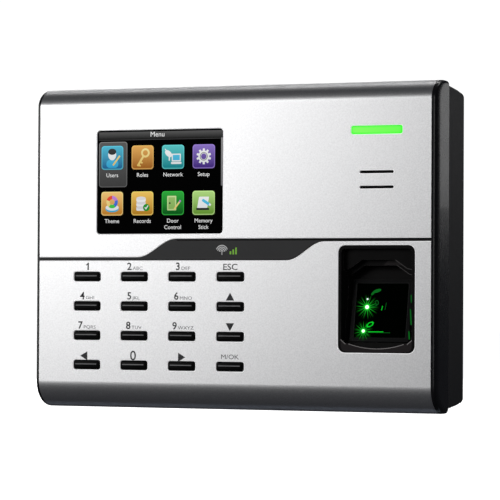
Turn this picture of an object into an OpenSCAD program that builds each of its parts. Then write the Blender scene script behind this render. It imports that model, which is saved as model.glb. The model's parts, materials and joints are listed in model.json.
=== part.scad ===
// Wall-mounted fingerprint terminal with a colour display, a sixteen-key pad and a
// finger well.  X runs to the right as seen from the front, Y runs back to the wall
// and Z runs up.  The origin is the centre of the wall plate's back face.

/* [Case] */
// Overall width
body_w = 182; // [180:0.5:186]
// Overall height of the front casing
body_h = 138; // [137:0.5:142]
// Depth from the wall to the front face
body_d = 41.4; // [41:0.1:44]
// Depth of the front casing, ahead of the parting line
front_d = 16.9; // [16.5:0.1:17.5]
// Wall thickness of the silver front panels
panel_t = 1.8; // [1.6:0.1:1.8]
// Wall thickness of the moulded housings
wall_t = 2.0; // [1.8:0.1:2.2]
// Thickness of each glossy end cap
cap_t = 2.2; // [2:0.1:2.4]
// Step in from the front casing to the rear housing, top and bottom
rear_step = 2.1; // [2:0.1:3]
// Draft of the rear housing over its whole depth, top and bottom
rear_draft = 1.8; // [0.8:0.1:2]
// Draft of the rear housing over its whole depth, left and right
rear_draft_x = 0.2; // [0.1:0.1:1]

/* [Display] */
// Width of the display opening
window_w = 58.4; // [57:0.1:59]
// Height of the display opening
window_h = 44.4; // [43:0.1:45]
// Centre of the display opening across the case
window_x = -32.55; // [-33:0.05:-32]
// Centre of the display opening above the case's middle
window_z = 27.8; // [27:0.1:28.5]

/* [Keys] */
// Width of a key opening
key_w = 12.6; // [12:0.1:13]
// Height of a key opening
key_h = 4.15; // [4:0.05:4.5]
// Distance between key columns
key_pitch_x = 22.1; // [21.5:0.1:22.5]
// Distance between key rows
key_pitch_z = 12.6; // [12:0.1:13]
// Travel of a key
key_travel = 0.9; // [0.6:0.1:0.9]
// Clearance round a key
key_gap = 0.3; // [0.25:0.05:0.4]

/* [Finger well] */
// Width of the finger opening
well_w = 33.4; // [33:0.1:34]
// Height of the finger opening
well_h = 44.4; // [44:0.1:45]
// Centre of the finger opening across the case
well_x = 65.1; // [64.5:0.1:65.5]
// Centre of the finger opening, relative to the case's middle
well_z = -21.7; // [-22:0.1:-21.5]
// Backward lean of the sensor's glass
platen_tilt = 12.1; // [10:0.1:13]
// Width of the sensor's glass
platen_w = 22.4; // [21:0.1:22.4]
// Height of the sensor's glass along its slope
platen_h = 22.8; // [21:0.1:23]

/* [Wall plate] */
// Width of the wall plate
plate_w = 148; // [146:0.5:149]
// Height of the wall plate
plate_h = 96; // [94:0.5:96]
// Thickness of the wall plate
plate_t = 1.5; // [1.2:0.1:1.5]
// Distance between the wall screws, across
mount_w = 128; // [124:0.5:130]
// Distance between the wall screws, up
mount_h = 70; // [68:0.5:72]
// Upward travel that frees the terminal from the hooks
lift = 8; // [7:0.5:8]

/* [Hidden] */
$fn = 48;
eps = 0.5;

// Places along the depth, all measured from the wall
front_y = -body_d;
part_y = front_y + front_d;
panel_back_y = front_y + panel_t;
frame_front_y = panel_back_y + 0.1;
frame_back_y = frame_front_y + wall_t;
board_y = front_y + 8.2;
board_t = 1.6;
board_back_y = board_y + board_t;
rear_y = -0.3;
pocket_y = -5;
pocket_wall = 2.2;
back_wall_y = pocket_y - pocket_wall;

// Half sizes of the case
half_w = body_w / 2;
half_h = body_h / 2;
panel_half_w = half_w - cap_t;
frame_half_w = panel_half_w - 0.2;
seam = 0.1;

// Rounding of the front casing in side view
top_arc_d = 14;
top_arc_h = 8.5;
bottom_arc_d = 15;
bottom_arc_h = 11.5;
cap_round_d = 4.5;

// Rear housing half sizes at the parting line and at the wall
rear_half_h = half_h - rear_step;
rear_half_w = half_w - 0.2;
rear_edge_r = 2.5;

// Accent strip: heights of its edges and where its two curves run
strip_left_top = -4.45;
strip_left_bottom = -5.6;
strip_right_top = 3.4;
strip_right_bottom = 2.2;
strip_rise_a = [-42.6, -24.6];
strip_rise_b = [25.4, 42.2];
strip_proud = 0.2;

// Keys
key_x0 = -66;
key_z0 = -12.6;
key_proud = 0.6;
key_r = 0.75;
flange_w = 14.4;
flange_h = 6;
flange_t = 1.1;
flange_y = frame_back_y + 0.3;
mat_y = flange_y + flange_t + key_travel + 1;
mat_t = 0.8;
dome_h = 0.5;
dome_r = 4;
stem_r = 1.6;
stem_h = 0.2;

// Status light and speaker
light_x = 65.05;
light_z = 48.1;
light_w = 22.3;
light_h = 3.5;
slot_z = [24.45, 30.75];
slot_w = 14.8;
slot_h = 1.2;
speaker_z = 27.6;
speaker_r = 13.4;

// Sensor, in a frame that leans with the glass
platen_y = front_y + 4;
platen_z = -37.5;
sensor_rim = 1.8;
well_front_y = front_y + 0.2;
well_back_y = front_y + 13;
led_x = -9.5;
led_up = [2.6, 12.8];
lip_r = 37.3;
lip_low_z = -42.2;

// Fasteners
case_screw_x = 80;
case_screw_z = 56;
screw_r = 1.5;
pilot_r = 1.45;
io_post = [38, 16];
io_z = 12;
io_y = -24;
io_back_y = io_y + board_t;
usb_post = [10.5, -49];
case_head_y = rear_y - 7.5;
main_x = -15.5;
main_z = 29;
main_w = 115;
main_h = 62;
main_post_x = [-70.5, 39];
main_post_z = [1, 57];
keypad_x = -33;
keypad_z = -31;
keypad_w = 84;
keypad_h = 54;
keypad_post_x = [-54.95, -10.75];
keypad_post_z = [-18.9, -44.1];

// Back of the terminal and the plate that it hangs on
pocket_half_w = 76.5;
pocket_top = plate_h / 2 + 0.8;
pocket_bottom = -plate_h / 2 - lift - 1;
bay_w = 60;
bay_h = 30;
hook_x = 50;
hook_z = [28, -22];
hook_w = 10;
hook_rise = 6;
hook_t = 1.5;
shank_h = 2;
hook_y = back_wall_y - 0.4 - hook_t;
plate_hole_r = 2.5;
flange_x = 8;
flange_z = -plate_h / 2;
lock_y = -12;
lock_tip_z = flange_z + 4.5;
lock_head_z = -65.4;
lock_r = 1.45;
lock_boss_z = [-64.5, -57.5];
fit = 0.05;
tamper_z = -32;
tamper_r = 1.5;
tamper_out = 1.5;
tamper_tip_y = -3.8;
usb_x = -45;
usb_y = -18.5;

// Points of an elliptical arc
function arc_pts(cy, cz, ry, rz, a0, a1, n = 12) =
    [for (i = [0:n]) let (a = a0 + (a1 - a0) * i / n) [cy + ry * cos(a), cz + rz * sin(a)]];

// Points of a soft S from one level to another
function s_pts(xs, z0, z1, n = 12) =
    [for (i = [0:n]) let (t = i / n) [xs[0] + (xs[1] - xs[0]) * t, z0 + (z1 - z0) * (1 - cos(180 * t)) / 2]];

function reversed(list) = [for (i = [len(list) - 1:-1:0]) list[i]];

// Side outline of the front casing, drawn in by an inset
function casing_outline(inset, back) = concat(
    [[back, -half_h + inset]],
    arc_pts(front_y + bottom_arc_d, -half_h + bottom_arc_h, bottom_arc_d - inset,
        bottom_arc_h - inset, 270, 180),
    arc_pts(front_y + top_arc_d, half_h - top_arc_h, top_arc_d - inset, top_arc_h - inset, 180, 90),
    [[back, half_h - inset]]);

// Outline of the rear housing in side or top view, with rounded rear edges
function rear_outline(half_front, half_back, front, back, r) = concat(
    [[front, -half_front]],
    arc_pts(back - r, -half_back + r, r, r, 270, 360, 6),
    arc_pts(back - r, half_back - r, r, r, 0, 90, 6),
    [[front, half_front]]);

strip_upper = concat([[-panel_half_w, strip_left_top]],
    s_pts(strip_rise_a, strip_left_top, strip_right_top), [[panel_half_w, strip_right_top]]);
strip_lower = concat([[-panel_half_w, strip_left_bottom]],
    s_pts(strip_rise_b, strip_left_bottom, strip_right_bottom), [[panel_half_w, strip_right_bottom]]);

// Extrusions of a flat outline along each axis
module along_x(x0, x1) {
    translate([x0, 0, 0]) rotate([90, 0, 90]) linear_extrude(x1 - x0) children();
}

module along_y(y0, y1) {
    translate([0, y1, 0]) rotate([90, 0, 0]) linear_extrude(y1 - y0) children();
}

module along_z(z0, z1) {
    translate([0, 0, z0]) linear_extrude(z1 - z0) children();
}

module round_rect(w, h, r) {
    square([w - 2 * r, h], center = true);
    square([w, h - 2 * r], center = true);
    for (sx = [-1, 1], sz = [-1, 1])
        translate([sx * (w / 2 - r), sz * (h / 2 - r)]) circle(r);
}

// Block centred in X and Z, from one depth to another
module block(x, z, w, h, y0, y1) {
    translate([x - w / 2, y0, z - h / 2]) cube([w, y1 - y0, h]);
}

module rod(x, z, r, y0, y1) {
    translate([x, y1, z]) rotate([90, 0, 0]) cylinder(r = r, h = y1 - y0);
}

module at_keys() {
    for (col = [0:3], row = [0:3])
        translate([key_x0 + col * key_pitch_x, 0, key_z0 - row * key_pitch_z]) children();
}

module at_four(x, z) {
    for (sx = [-1, 1], sz = [-1, 1]) translate([sx * x, 0, sz * z]) children();
}

module key_openings(y0, y1) {
    at_keys() along_y(y0, y1) round_rect(key_w, key_h, 1);
}

module well_opening(y0, y1, grow) {
    translate([well_x, 0, well_z]) along_y(y0, y1) round_rect(well_w + grow, well_h + grow, 3 + grow / 2);
}

module window_opening(y0, y1, grow) {
    translate([window_x, 0, window_z]) along_y(y0, y1)
        round_rect(window_w + grow, window_h + grow, 1.5 + grow / 2);
}

module light_opening(y0, y1) {
    translate([light_x, 0, light_z]) along_y(y0, y1) round_rect(light_w, light_h, 0.8);
}

module speaker_slots(y0, y1) {
    for (z = slot_z) translate([light_x, 0, z]) along_y(y0, y1) round_rect(slot_w, slot_h, slot_h / 2 - 0.01);
}

// The silver skin before it is cut into its two panels
module panel_skin() {
    along_x(-panel_half_w + seam, panel_half_w - seam) difference() {
        polygon(casing_outline(0, part_y));
        polygon(casing_outline(panel_t, part_y + eps));
    }
}

module upper_front_panel() {
    color("#c9cacb") difference() {
        intersection() {
            panel_skin();
            translate([0, 0, seam]) along_y(front_y - 1, 0)
                polygon(concat(strip_upper, [[panel_half_w, half_h + 1], [-panel_half_w, half_h + 1]]));
        }
        window_opening(front_y - 1, panel_back_y + 1, 0);
        light_opening(front_y - 1, panel_back_y + 1);
        speaker_slots(front_y - 1, panel_back_y + 1);
    }
}

module lower_front_panel() {
    color("#bfc0c1") difference() {
        intersection() {
            panel_skin();
            translate([0, 0, -seam]) along_y(front_y - 1, 0)
                polygon(concat(strip_lower, [[panel_half_w, -half_h - 1], [-panel_half_w, -half_h - 1]]));
        }
        key_openings(front_y - 1, panel_back_y + 1);
        well_opening(front_y - 1, panel_back_y + 1, 0);
    }
}

module accent_strip() {
    color("#0c0c0e") along_y(front_y - strip_proud, panel_back_y)
        polygon(concat(strip_upper, reversed(strip_lower)));
}

// Glossy rim at one end of the case, rounded outward
module end_cap() {
    intersection() {
        along_x(panel_half_w, half_w) polygon(casing_outline(0, part_y));
        along_z(-half_h - 1, half_h + 1) polygon(concat(
            [[panel_half_w - 1, part_y], [panel_half_w - 1, front_y]],
            arc_pts(panel_half_w, front_y + cap_round_d, cap_t, cap_round_d, 270, 360),
            [[half_w, part_y]]));
    }
}

module left_end_cap() {
    color("#101012") mirror([1, 0, 0]) end_cap();
}

module right_end_cap() {
    color("#101012") end_cap();
}

// Black moulding behind the silver panels that carries everything at the front
module front_frame() {
    inset = panel_t + seam;
    color("#1c1c1e") difference() {
        union() {
            along_x(-frame_half_w, frame_half_w) difference() {
                polygon(casing_outline(inset, part_y));
                polygon(casing_outline(inset + wall_t, part_y + eps));
            }
            for (side = [0, 1]) mirror([side, 0, 0])
                along_x(frame_half_w - wall_t, frame_half_w) polygon(casing_outline(inset, part_y));
            at_four(case_screw_x, case_screw_z) rod(0, 0, 3.5, frame_front_y, part_y - seam);
            for (x = main_post_x, z = main_post_z) rod(x, z, 2.5, frame_front_y, board_y);
            for (x = keypad_post_x, z = keypad_post_z) rod(x, z, 2.2, frame_front_y, board_y);
            rod(light_x, speaker_z, speaker_r + 1.6, frame_front_y, frame_back_y + 4);
        }
        rod(light_x, speaker_z, speaker_r + 0.1, frame_back_y, frame_back_y + 5);
        speaker_slots(frame_front_y - 1, frame_back_y + 1);
        light_opening(frame_front_y - 1, frame_back_y + 1);
        window_opening(frame_front_y - 1, frame_back_y + 1, 1.6);
        window_opening(frame_front_y - 1, frame_front_y + 1, 5.4);
        key_openings(frame_front_y - 1, frame_back_y + 1);
        well_opening(frame_front_y - 1, frame_back_y + 1, 0.2);
        at_four(case_screw_x, case_screw_z) rod(0, 0, screw_r, part_y - 9, part_y + 1);
        for (x = main_post_x, z = main_post_z) rod(x, z, 1, board_y - 3.5, board_y + 1);
        for (x = keypad_post_x, z = keypad_post_z) rod(x, z, 1, board_y - 3.5, board_y + 1);
    }
}

// Clear lens, stepped so that its rim sits behind the silver panel
module display_window() {
    color("#0b0d10", 0.9) union() {
        window_opening(front_y + 0.4, panel_back_y + 0.3, -0.3);
        window_opening(panel_back_y + 0.2, panel_back_y + 1, 5);
    }
}

module display_gasket() {
    color("#2a2a2a") difference() {
        window_opening(frame_back_y + 0.05, frame_back_y + 0.5, 4.6);
        window_opening(frame_back_y - 1, frame_back_y + 1, 0.4);
    }
}

module lcd_panel() {
    color("#203048") block(window_x, window_z, 64.4, 48.4, frame_back_y + 0.55, frame_back_y + 1.8);
}

// Metal tray behind the display glass
module lcd_backlight() {
    color("#b8bcc0") difference() {
        block(window_x, window_z, 69.2, 50, frame_back_y + 0.6, board_y - 0.05);
        block(window_x, window_z, 64.8, 48.8, frame_back_y, frame_back_y + 1.85);
    }
}

module light_pipe() {
    color("#30e040", 0.9) translate([light_x, 0, light_z]) union() {
        along_y(front_y + 0.1, frame_back_y + 0.2) round_rect(light_w - 0.3, light_h - 0.3, 0.65);
        along_y(frame_back_y + 0.05, frame_back_y + 1.4) round_rect(light_w + 2, light_h + 2, 1.5);
    }
}

module status_leds() {
    color("#f0f0e0") for (i = [-1:1])
        block(light_x + i * 7, light_z, 3.5, 2.8, frame_back_y + 1.5, frame_back_y + 3);
}

module status_board() {
    color("#1d6b38") block(light_x, light_z, 26, 8, frame_back_y + 3, frame_back_y + 4.6);
}

module speaker() {
    color("#383838") translate([light_x, frame_back_y + 0.6, speaker_z]) rotate([-90, 0, 0]) union() {
        difference() {
            cylinder(r = speaker_r, h = 3);
            translate([0, 0, -1]) cylinder(r = speaker_r - 2, h = 1.8);
        }
        cylinder(r1 = 3, r2 = 6, h = 1);
        translate([0, 0, 2.9]) cylinder(r = 8, h = 2);
    }
}

module speaker_mesh() {
    color("#151515") rod(light_x, speaker_z, speaker_r, frame_back_y + 0.1, frame_back_y + 0.5);
}

// One key: a bar that passes the panel and a flange that retains it
module key_bar(col, row) {
    color("#141416") translate([key_x0 + col * key_pitch_x, 0, key_z0 - row * key_pitch_z]) union() {
        along_y(front_y - key_proud, flange_y + 0.2)
            round_rect(key_w - 2 * key_gap, key_h - 2 * key_gap, key_r);
        block(0, 0, flange_w, flange_h, flange_y, flange_y + flange_t);
        rod(0, 0, stem_r, flange_y + flange_t - 0.1, flange_y + flange_t + stem_h);
    }
}

module key_1() { key_bar(0, 0); }
module key_2() { key_bar(1, 0); }
module key_3() { key_bar(2, 0); }
module key_esc() { key_bar(3, 0); }
module key_4() { key_bar(0, 1); }
module key_5() { key_bar(1, 1); }
module key_6() { key_bar(2, 1); }
module key_up() { key_bar(3, 1); }
module key_7() { key_bar(0, 2); }
module key_8() { key_bar(1, 2); }
module key_9() { key_bar(2, 2); }
module key_down() { key_bar(3, 2); }
module key_left() { key_bar(0, 3); }
module key_0() { key_bar(1, 3); }
module key_right() { key_bar(2, 3); }
module key_ok() { key_bar(3, 3); }

// Silicone sheet with a hollow dome under each key
module keypad_mat() {
    color("#d8d8d4") difference() {
        union() {
            block(keypad_x, keypad_z, keypad_w - 2, keypad_h - 4, mat_y, mat_y + mat_t);
            at_keys() rod(0, 0, dome_r, mat_y - dome_h, mat_y + 0.1);
        }
        at_keys() rod(0, 0, dome_r - 0.8, mat_y, mat_y + mat_t + 1);
        for (x = keypad_post_x, z = keypad_post_z) rod(x, z, 2.6, mat_y - 1, mat_y + mat_t + 1);
    }
}

module dome_contacts() {
    color("#c8a040") at_keys() rod(0, 0, 2.5, board_y - 0.2, board_y);
}

module keypad_board() {
    color("#1d6b38") difference() {
        block(keypad_x, keypad_z, keypad_w, keypad_h, board_y, board_back_y);
        for (x = keypad_post_x, z = keypad_post_z) rod(x, z, 1.2, board_y - 1, board_back_y + 1);
    }
}

// Flat cable between the keypad board and the main board, with its two sockets
module keypad_ribbon() {
    color("#e8e8e0") union() {
        block(keypad_x, -2, 12, 16, board_back_y + 0.8, board_back_y + 1.1);
        for (z = [-10, 6]) block(keypad_x, z, 14, 4, board_back_y, board_back_y + 2);
    }
}

// Everything that leans with the sensor's glass is placed in this frame
module leaning() {
    translate([well_x, platen_y, platen_z]) rotate([-platen_tilt, 0, 0]) children();
}

// Arched outline of the finger hood, lowered by a drop
module hood_outline(drop) {
    polygon([[-15.6, 0.4], [15.6, 0.4], [15.6, -9.8 - drop], [12.5, -9.1 - drop], [7.3, -5.5 - drop],
        [-7.3, -5.5 - drop], [-12.5, -9.1 - drop], [-15.6, -9.8 - drop]]);
}

// Black surround of the finger well: walls, hood, concave lip and leaning floor
module sensor_bezel() {
    color("#0e0e10") difference() {
        union() {
            difference() {
                well_opening(well_front_y, well_back_y, -0.3);
                well_opening(well_front_y - 1, well_back_y + 1, -2.7);
            }
            translate([well_x, 0, 0]) along_y(front_y + 3.4, well_back_y) hood_outline(0);
            translate([well_x, 0, 0]) along_y(front_y + 6.4, well_back_y) hood_outline(2.3);
            translate([well_x, 0, 0]) along_y(front_y + 0.6, front_y + 4.6) difference() {
                polygon([[-15.6, -43.7], [15.6, -43.7], [15.6, -38.4], [13.4, -40.3], [13, -39.8],
                    [-13, -39.8], [-13.4, -40.3], [-15.6, -38.4]]);
                translate([0, lip_low_z + lip_r]) circle(lip_r);
            }
            intersection() {
                leaning() translate([-15.6, 1.2, -8]) cube([31.2, 1.6, 41]);
                well_opening(well_front_y, well_back_y, -0.3);
            }
        }
        leaning() translate([-13.1, -1, -sensor_rim - 0.1]) cube([26.2, 6, platen_h + 2 * sensor_rim + 0.2]);
    }
}

module sensor_frame() {
    color("#161618") leaning() difference() {
        translate([-platen_w / 2 - sensor_rim, 0, -sensor_rim])
            cube([platen_w + 2 * sensor_rim, 3, platen_h + 2 * sensor_rim]);
        translate([-platen_w / 2, -1, 0]) cube([platen_w, 5, platen_h]);
    }
}

module sensor_platen() {
    color("#0a1a10", 0.8) leaning()
        translate([-platen_w / 2 + 0.05, 0.3, 0.05]) cube([platen_w - 0.1, 3.2, platen_h - 0.1]);
}

// Light-tight box behind the glass, with a hole for the camera
module sensor_housing() {
    color("#202022") leaning() difference() {
        translate([-13, 3.05, -sensor_rim]) cube([26, 12, platen_h + 2 * sensor_rim]);
        translate([-11.4, 2, -0.2]) cube([22.8, 11.5, platen_h + 0.4]);
        translate([0, 20, platen_h / 2]) rotate([90, 0, 0]) cylinder(r = 4.1, h = 10);
    }
}

module sensor_led_board() {
    color("#1d6b38") leaning() difference() {
        translate([-11.2, 9.6, 0]) cube([22.4, 1, platen_h]);
        translate([0, 12, platen_h / 2]) rotate([90, 0, 0]) cylinder(r = 5, h = 4);
    }
}

module sensor_leds() {
    color("#40ff60") leaning() for (up = led_up)
        translate([led_x, 9.6, up]) rotate([90, 0, 0]) union() {
            cylinder(r = 1.3, h = 1.4);
            translate([0, 0, 1.4]) sphere(r = 1.3);
        }
}

// Lens barrel and its board at the back of the sensor
module sensor_camera() {
    color("#303030") leaning() union() {
        translate([0, 15.2, platen_h / 2]) rotate([90, 0, 0]) cylinder(r = 4, h = 6.5);
        translate([-11, 15.2, 0]) cube([22, 1.6, platen_h]);
        translate([-5, 16.7, platen_h / 2 - 5]) cube([10, 2, 10]);
    }
}

module main_board() {
    color("#1d6b38") difference() {
        block(main_x, main_z, main_w, main_h, board_y, board_back_y);
        for (x = main_post_x, z = main_post_z) rod(x, z, 1.2, board_y - 1, board_back_y + 1);
    }
}

// Processor and two memory packages on the back of the main board
module board_chips() {
    color("#181818") {
        block(-35, 36, 15, 15, board_back_y, board_back_y + 1.4);
        for (z = [26, 46]) block(-12, z, 18.4, 10.2, board_back_y, board_back_y + 1.2);
    }
}

module coin_cell() {
    color("#d0d2d4") rod(24, 44, 10, board_back_y, board_back_y + 3.2);
}

module io_board() {
    color("#1d6b38") difference() {
        block(0, io_z, 84, 40, io_y, io_back_y);
        translate([0, 0, io_z]) at_four(io_post[0], io_post[1]) rod(0, 0, 1.2, io_y - 1, io_back_y + 1);
    }
}

// Network socket that opens towards the wall
module ethernet_jack() {
    color("#b4b8bc") difference() {
        block(-20, io_z, 16, 14, io_back_y, -8);
        block(-20, io_z - 0.5, 11.8, 8, -19.5, -7);
        block(-20, io_z + 4.5, 6, 3, -19.5, -7);
    }
}

// Two eight-way screw terminals for the lock, bell, exit button and data wires
module terminal_blocks() {
    pitch = 3.5;
    color("#2f8f4a") for (z = [io_z - 8, io_z + 8]) difference() {
        block(8, z, 8 * pitch + 1, 8, io_back_y, -13);
        for (i = [0:7]) {
            rod(8 + (i - 3.5) * pitch, z + 1.6, 1.2, -15, -12);
            block(8 + (i - 3.5) * pitch, z - 2.2, 2.2, 2, -19, -12);
        }
    }
}

module relay() {
    color("#2050a0") block(34.5, io_z, 10, 15, io_back_y, -11.2);
}

module capacitors() {
    color("#202830") for (i = [-1:1]) rod(-36.5, io_z + i * 8.4, 4, io_back_y, -11.6);
}

// Socket that opens downward, with its contact tongue
module usb_port() {
    color("#c0c4c8") translate([usb_x, usb_y, 0]) union() {
        difference() {
            translate([-6.55, -2.85, -65.9]) cube([13.1, 5.7, 14]);
            translate([-6.2, -2.5, -66.9]) cube([12.4, 5, 13]);
        }
        translate([-5.5, -1.5, -64.9]) cube([11, 1.8, 12]);
    }
}

module usb_board() {
    color("#1d6b38") difference() {
        block(usb_x, -53, 26, 16, usb_y - 4.45, usb_y - 2.85);
        for (side = [-1, 1]) rod(usb_x + side * usb_post[0], usb_post[1], 1.2, usb_y - 6, usb_y);
    }
}

// Solid outer shape of the rear housing
module rear_block(inset, back, r, front) {
    intersection() {
        along_x(-half_w, half_w) polygon(rear_outline(rear_half_h - inset, rear_half_h - rear_draft - inset,
            front, back, r));
        along_z(-half_h, half_h) polygon([for (p = rear_outline(rear_half_w - inset,
            rear_half_w - rear_draft_x - inset, front, back, r)) [p[1], p[0]]]);
    }
}

// Recess in the back that takes the wall plate
module pocket(grow, y0, y1) {
    translate([-pocket_half_w - grow, y0, pocket_bottom - grow])
        cube([2 * (pocket_half_w + grow), y1 - y0, pocket_top - pocket_bottom + 2 * grow]);
}

module rear_housing() {
    color("#242426") difference() {
        union() {
            difference() {
                rear_block(0, rear_y, rear_edge_r, part_y + seam);
                difference() {
                    rear_block(wall_t, rear_y - wall_t, 1, part_y - 1);
                    pocket(pocket_wall, back_wall_y, 1);
                }
            }
            at_four(case_screw_x, case_screw_z) rod(0, 0, 4, part_y + seam, rear_y - 1);
            translate([0, 0, io_z]) at_four(io_post[0], io_post[1]) rod(0, 0, 3, io_back_y, back_wall_y + 1);
            for (side = [-1, 1])
                rod(usb_x + side * usb_post[0], usb_post[1], 2.2, usb_y - 2.85, back_wall_y + 1);
            translate([0, lock_y, lock_boss_z[0]]) cylinder(r = 4.5, h = lock_boss_z[1] - lock_boss_z[0]);
        }
        pocket(0, pocket_y, 1);
        translate([0, 0, io_z]) along_y(back_wall_y - 1, 0) round_rect(bay_w, bay_h, 3);
        for (side = [-1, 1], z = hook_z)
            translate([side * hook_x - hook_w / 2 - 0.4, back_wall_y - 1, z - shank_h - lift - 0.4])
                cube([hook_w + 0.8, 6, shank_h + lift + 0.8]);
        translate([-flange_x - 0.6, back_wall_y - 1, flange_z - lift - 0.4])
            cube([2 * flange_x + 1.2, 6, lift + plate_t + 0.8]);
        rod(0, tamper_z, tamper_r + 0.4, back_wall_y - 1, 0);
        at_four(case_screw_x, case_screw_z) {
            rod(0, 0, screw_r, part_y - 1, 1);
            rod(0, 0, 3.1, case_head_y, 1);
        }
        translate([0, 0, io_z]) at_four(io_post[0], io_post[1]) rod(0, 0, 1, io_y + 1, -14);
        for (side = [-1, 1]) rod(usb_x + side * usb_post[0], usb_post[1], 1, usb_y - 4, usb_y + 4);
        translate([0, lock_y, -70]) cylinder(r = lock_r + fit, h = 20);
        translate([0, lock_y, -70]) cylinder(r = 2.75 + fit, h = 7.5);
        translate([usb_x - 6.9, usb_y - 3.2, -70]) cube([13.8, 6.4, 12]);
    }
}

// Countersunk cross-head screw drawn along Y, head towards the wall
module machine_screw(r, head_r, head_t, length) {
    difference() {
        union() {
            rod(0, 0, head_r, 0, head_t);
            rod(0, 0, r, -length, 0.1);
        }
        block(0, 0, head_r * 1.1, 0.6, head_t - 0.7, head_t + 1);
        block(0, 0, 0.6, head_r * 1.1, head_t - 0.7, head_t + 1);
    }
}

module case_screws() {
    color("#90949a") at_four(case_screw_x, case_screw_z)
        translate([0, case_head_y, 0]) machine_screw(pilot_r, 2.8, 2.2, 23);
}

module board_screws() {
    color("#a8acb0") {
        for (x = main_post_x, z = main_post_z)
            translate([x, board_back_y, z]) machine_screw(0.95, 2, 1.4, 4.8);
        for (x = keypad_post_x, z = keypad_post_z)
            translate([x, board_back_y, z]) machine_screw(0.95, 2, 1.4, 4.8);
        translate([0, io_y, io_z]) at_four(io_post[0], io_post[1])
            mirror([0, 1, 0]) machine_screw(0.95, 2, 1.4, 8);
        for (side = [-1, 1]) translate([usb_x + side * usb_post[0], usb_y - 4.45, usb_post[1]])
            mirror([0, 1, 0]) machine_screw(0.95, 2, 1.4, 6);
    }
}

// Switch that senses removal from the wall
module tamper_switch() {
    color("#c03030") difference() {
        block(0, tamper_z, 12, 10, back_wall_y - 9.8, back_wall_y);
        rod(0, tamper_z, tamper_r + fit, back_wall_y - 7.6, back_wall_y + 1);
    }
}

module tamper_plunger() {
    color("#e8e8e8") translate([0, 0, tamper_z]) union() {
        rod(0, 0, tamper_r, back_wall_y - 7, tamper_tip_y - tamper_r);
        translate([0, tamper_tip_y - tamper_r, 0]) sphere(r = tamper_r);
    }
}

// Locking screw that enters from below and ties the terminal to the wall plate
module lock_screw() {
    color("#b0b4b8") translate([0, lock_y, 0]) difference() {
        union() {
            translate([0, 0, lock_head_z]) cylinder(r = 2.75, h = 2.5);
            translate([0, 0, lock_head_z + 2.4]) cylinder(r = lock_r, h = lock_tip_z - lock_head_z - 2.4);
        }
        translate([0, 0, lock_head_z - 1]) cylinder(r = 1.4, h = 2.4, $fn = 6);
    }
}

// Raised pad that holds the tamper plunger in, falling away in a ramp above it
module tamper_pad() {
    pad_y = tamper_tip_y + 0.4;
    along_x(-4, 4) polygon([[-plate_t + 0.2, tamper_z - 6], [pad_y, tamper_z - 5], [pad_y, tamper_z],
        [pad_y + tamper_out, tamper_z + lift], [-plate_t + 0.2, tamper_z + lift + 3]]);
}

// Upturned hook that passes the back wall and rises inside it
module hook() {
    translate([-hook_w / 2, hook_y, -shank_h]) cube([hook_w, -plate_t - hook_y + 0.2, shank_h]);
    translate([-hook_w / 2, hook_y, -shank_h]) cube([hook_w, hook_t, shank_h + hook_rise]);
}

module wall_plate() {
    color("#8a8e92") difference() {
        union() {
            along_y(-plate_t, 0) round_rect(plate_w, plate_h, 4);
            for (side = [-1, 1], z = hook_z) translate([side * hook_x, 0, z]) hook();
            translate([-flange_x, lock_y - 5, flange_z]) cube([2 * flange_x, -lock_y + 4, plate_t]);
            tamper_pad();
        }
        translate([0, 0, io_z]) along_y(-plate_t - 1, 1) round_rect(bay_w, bay_h, 3);
        at_four(mount_w / 2, mount_h / 2) rod(0, 0, plate_hole_r, -plate_t - 1, 1);
        translate([0, lock_y, flange_z - 1]) cylinder(r = lock_r + fit, h = plate_t + 2);
    }
}

upper_front_panel();
lower_front_panel();
accent_strip();
left_end_cap();
right_end_cap();
front_frame();
display_window();
display_gasket();
lcd_panel();
lcd_backlight();
light_pipe();
status_leds();
status_board();
speaker();
speaker_mesh();
key_1();
key_2();
key_3();
key_esc();
key_4();
key_5();
key_6();
key_up();
key_7();
key_8();
key_9();
key_down();
key_left();
key_0();
key_right();
key_ok();
keypad_mat();
dome_contacts();
keypad_board();
keypad_ribbon();
sensor_bezel();
sensor_frame();
sensor_platen();
sensor_housing();
sensor_leds();
sensor_led_board();
sensor_camera();
main_board();
board_chips();
coin_cell();
io_board();
ethernet_jack();
terminal_blocks();
relay();
capacitors();
usb_port();
usb_board();
rear_housing();
case_screws();
board_screws();
tamper_switch();
tamper_plunger();
lock_screw();
wall_plate();
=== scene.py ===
"""Fingerprint terminal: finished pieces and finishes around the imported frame, in metres."""
import json
import math

import bmesh
import bpy
from bpy.props import FloatProperty, FloatVectorProperty, PointerProperty
from mathutils import Matrix, Vector


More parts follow.
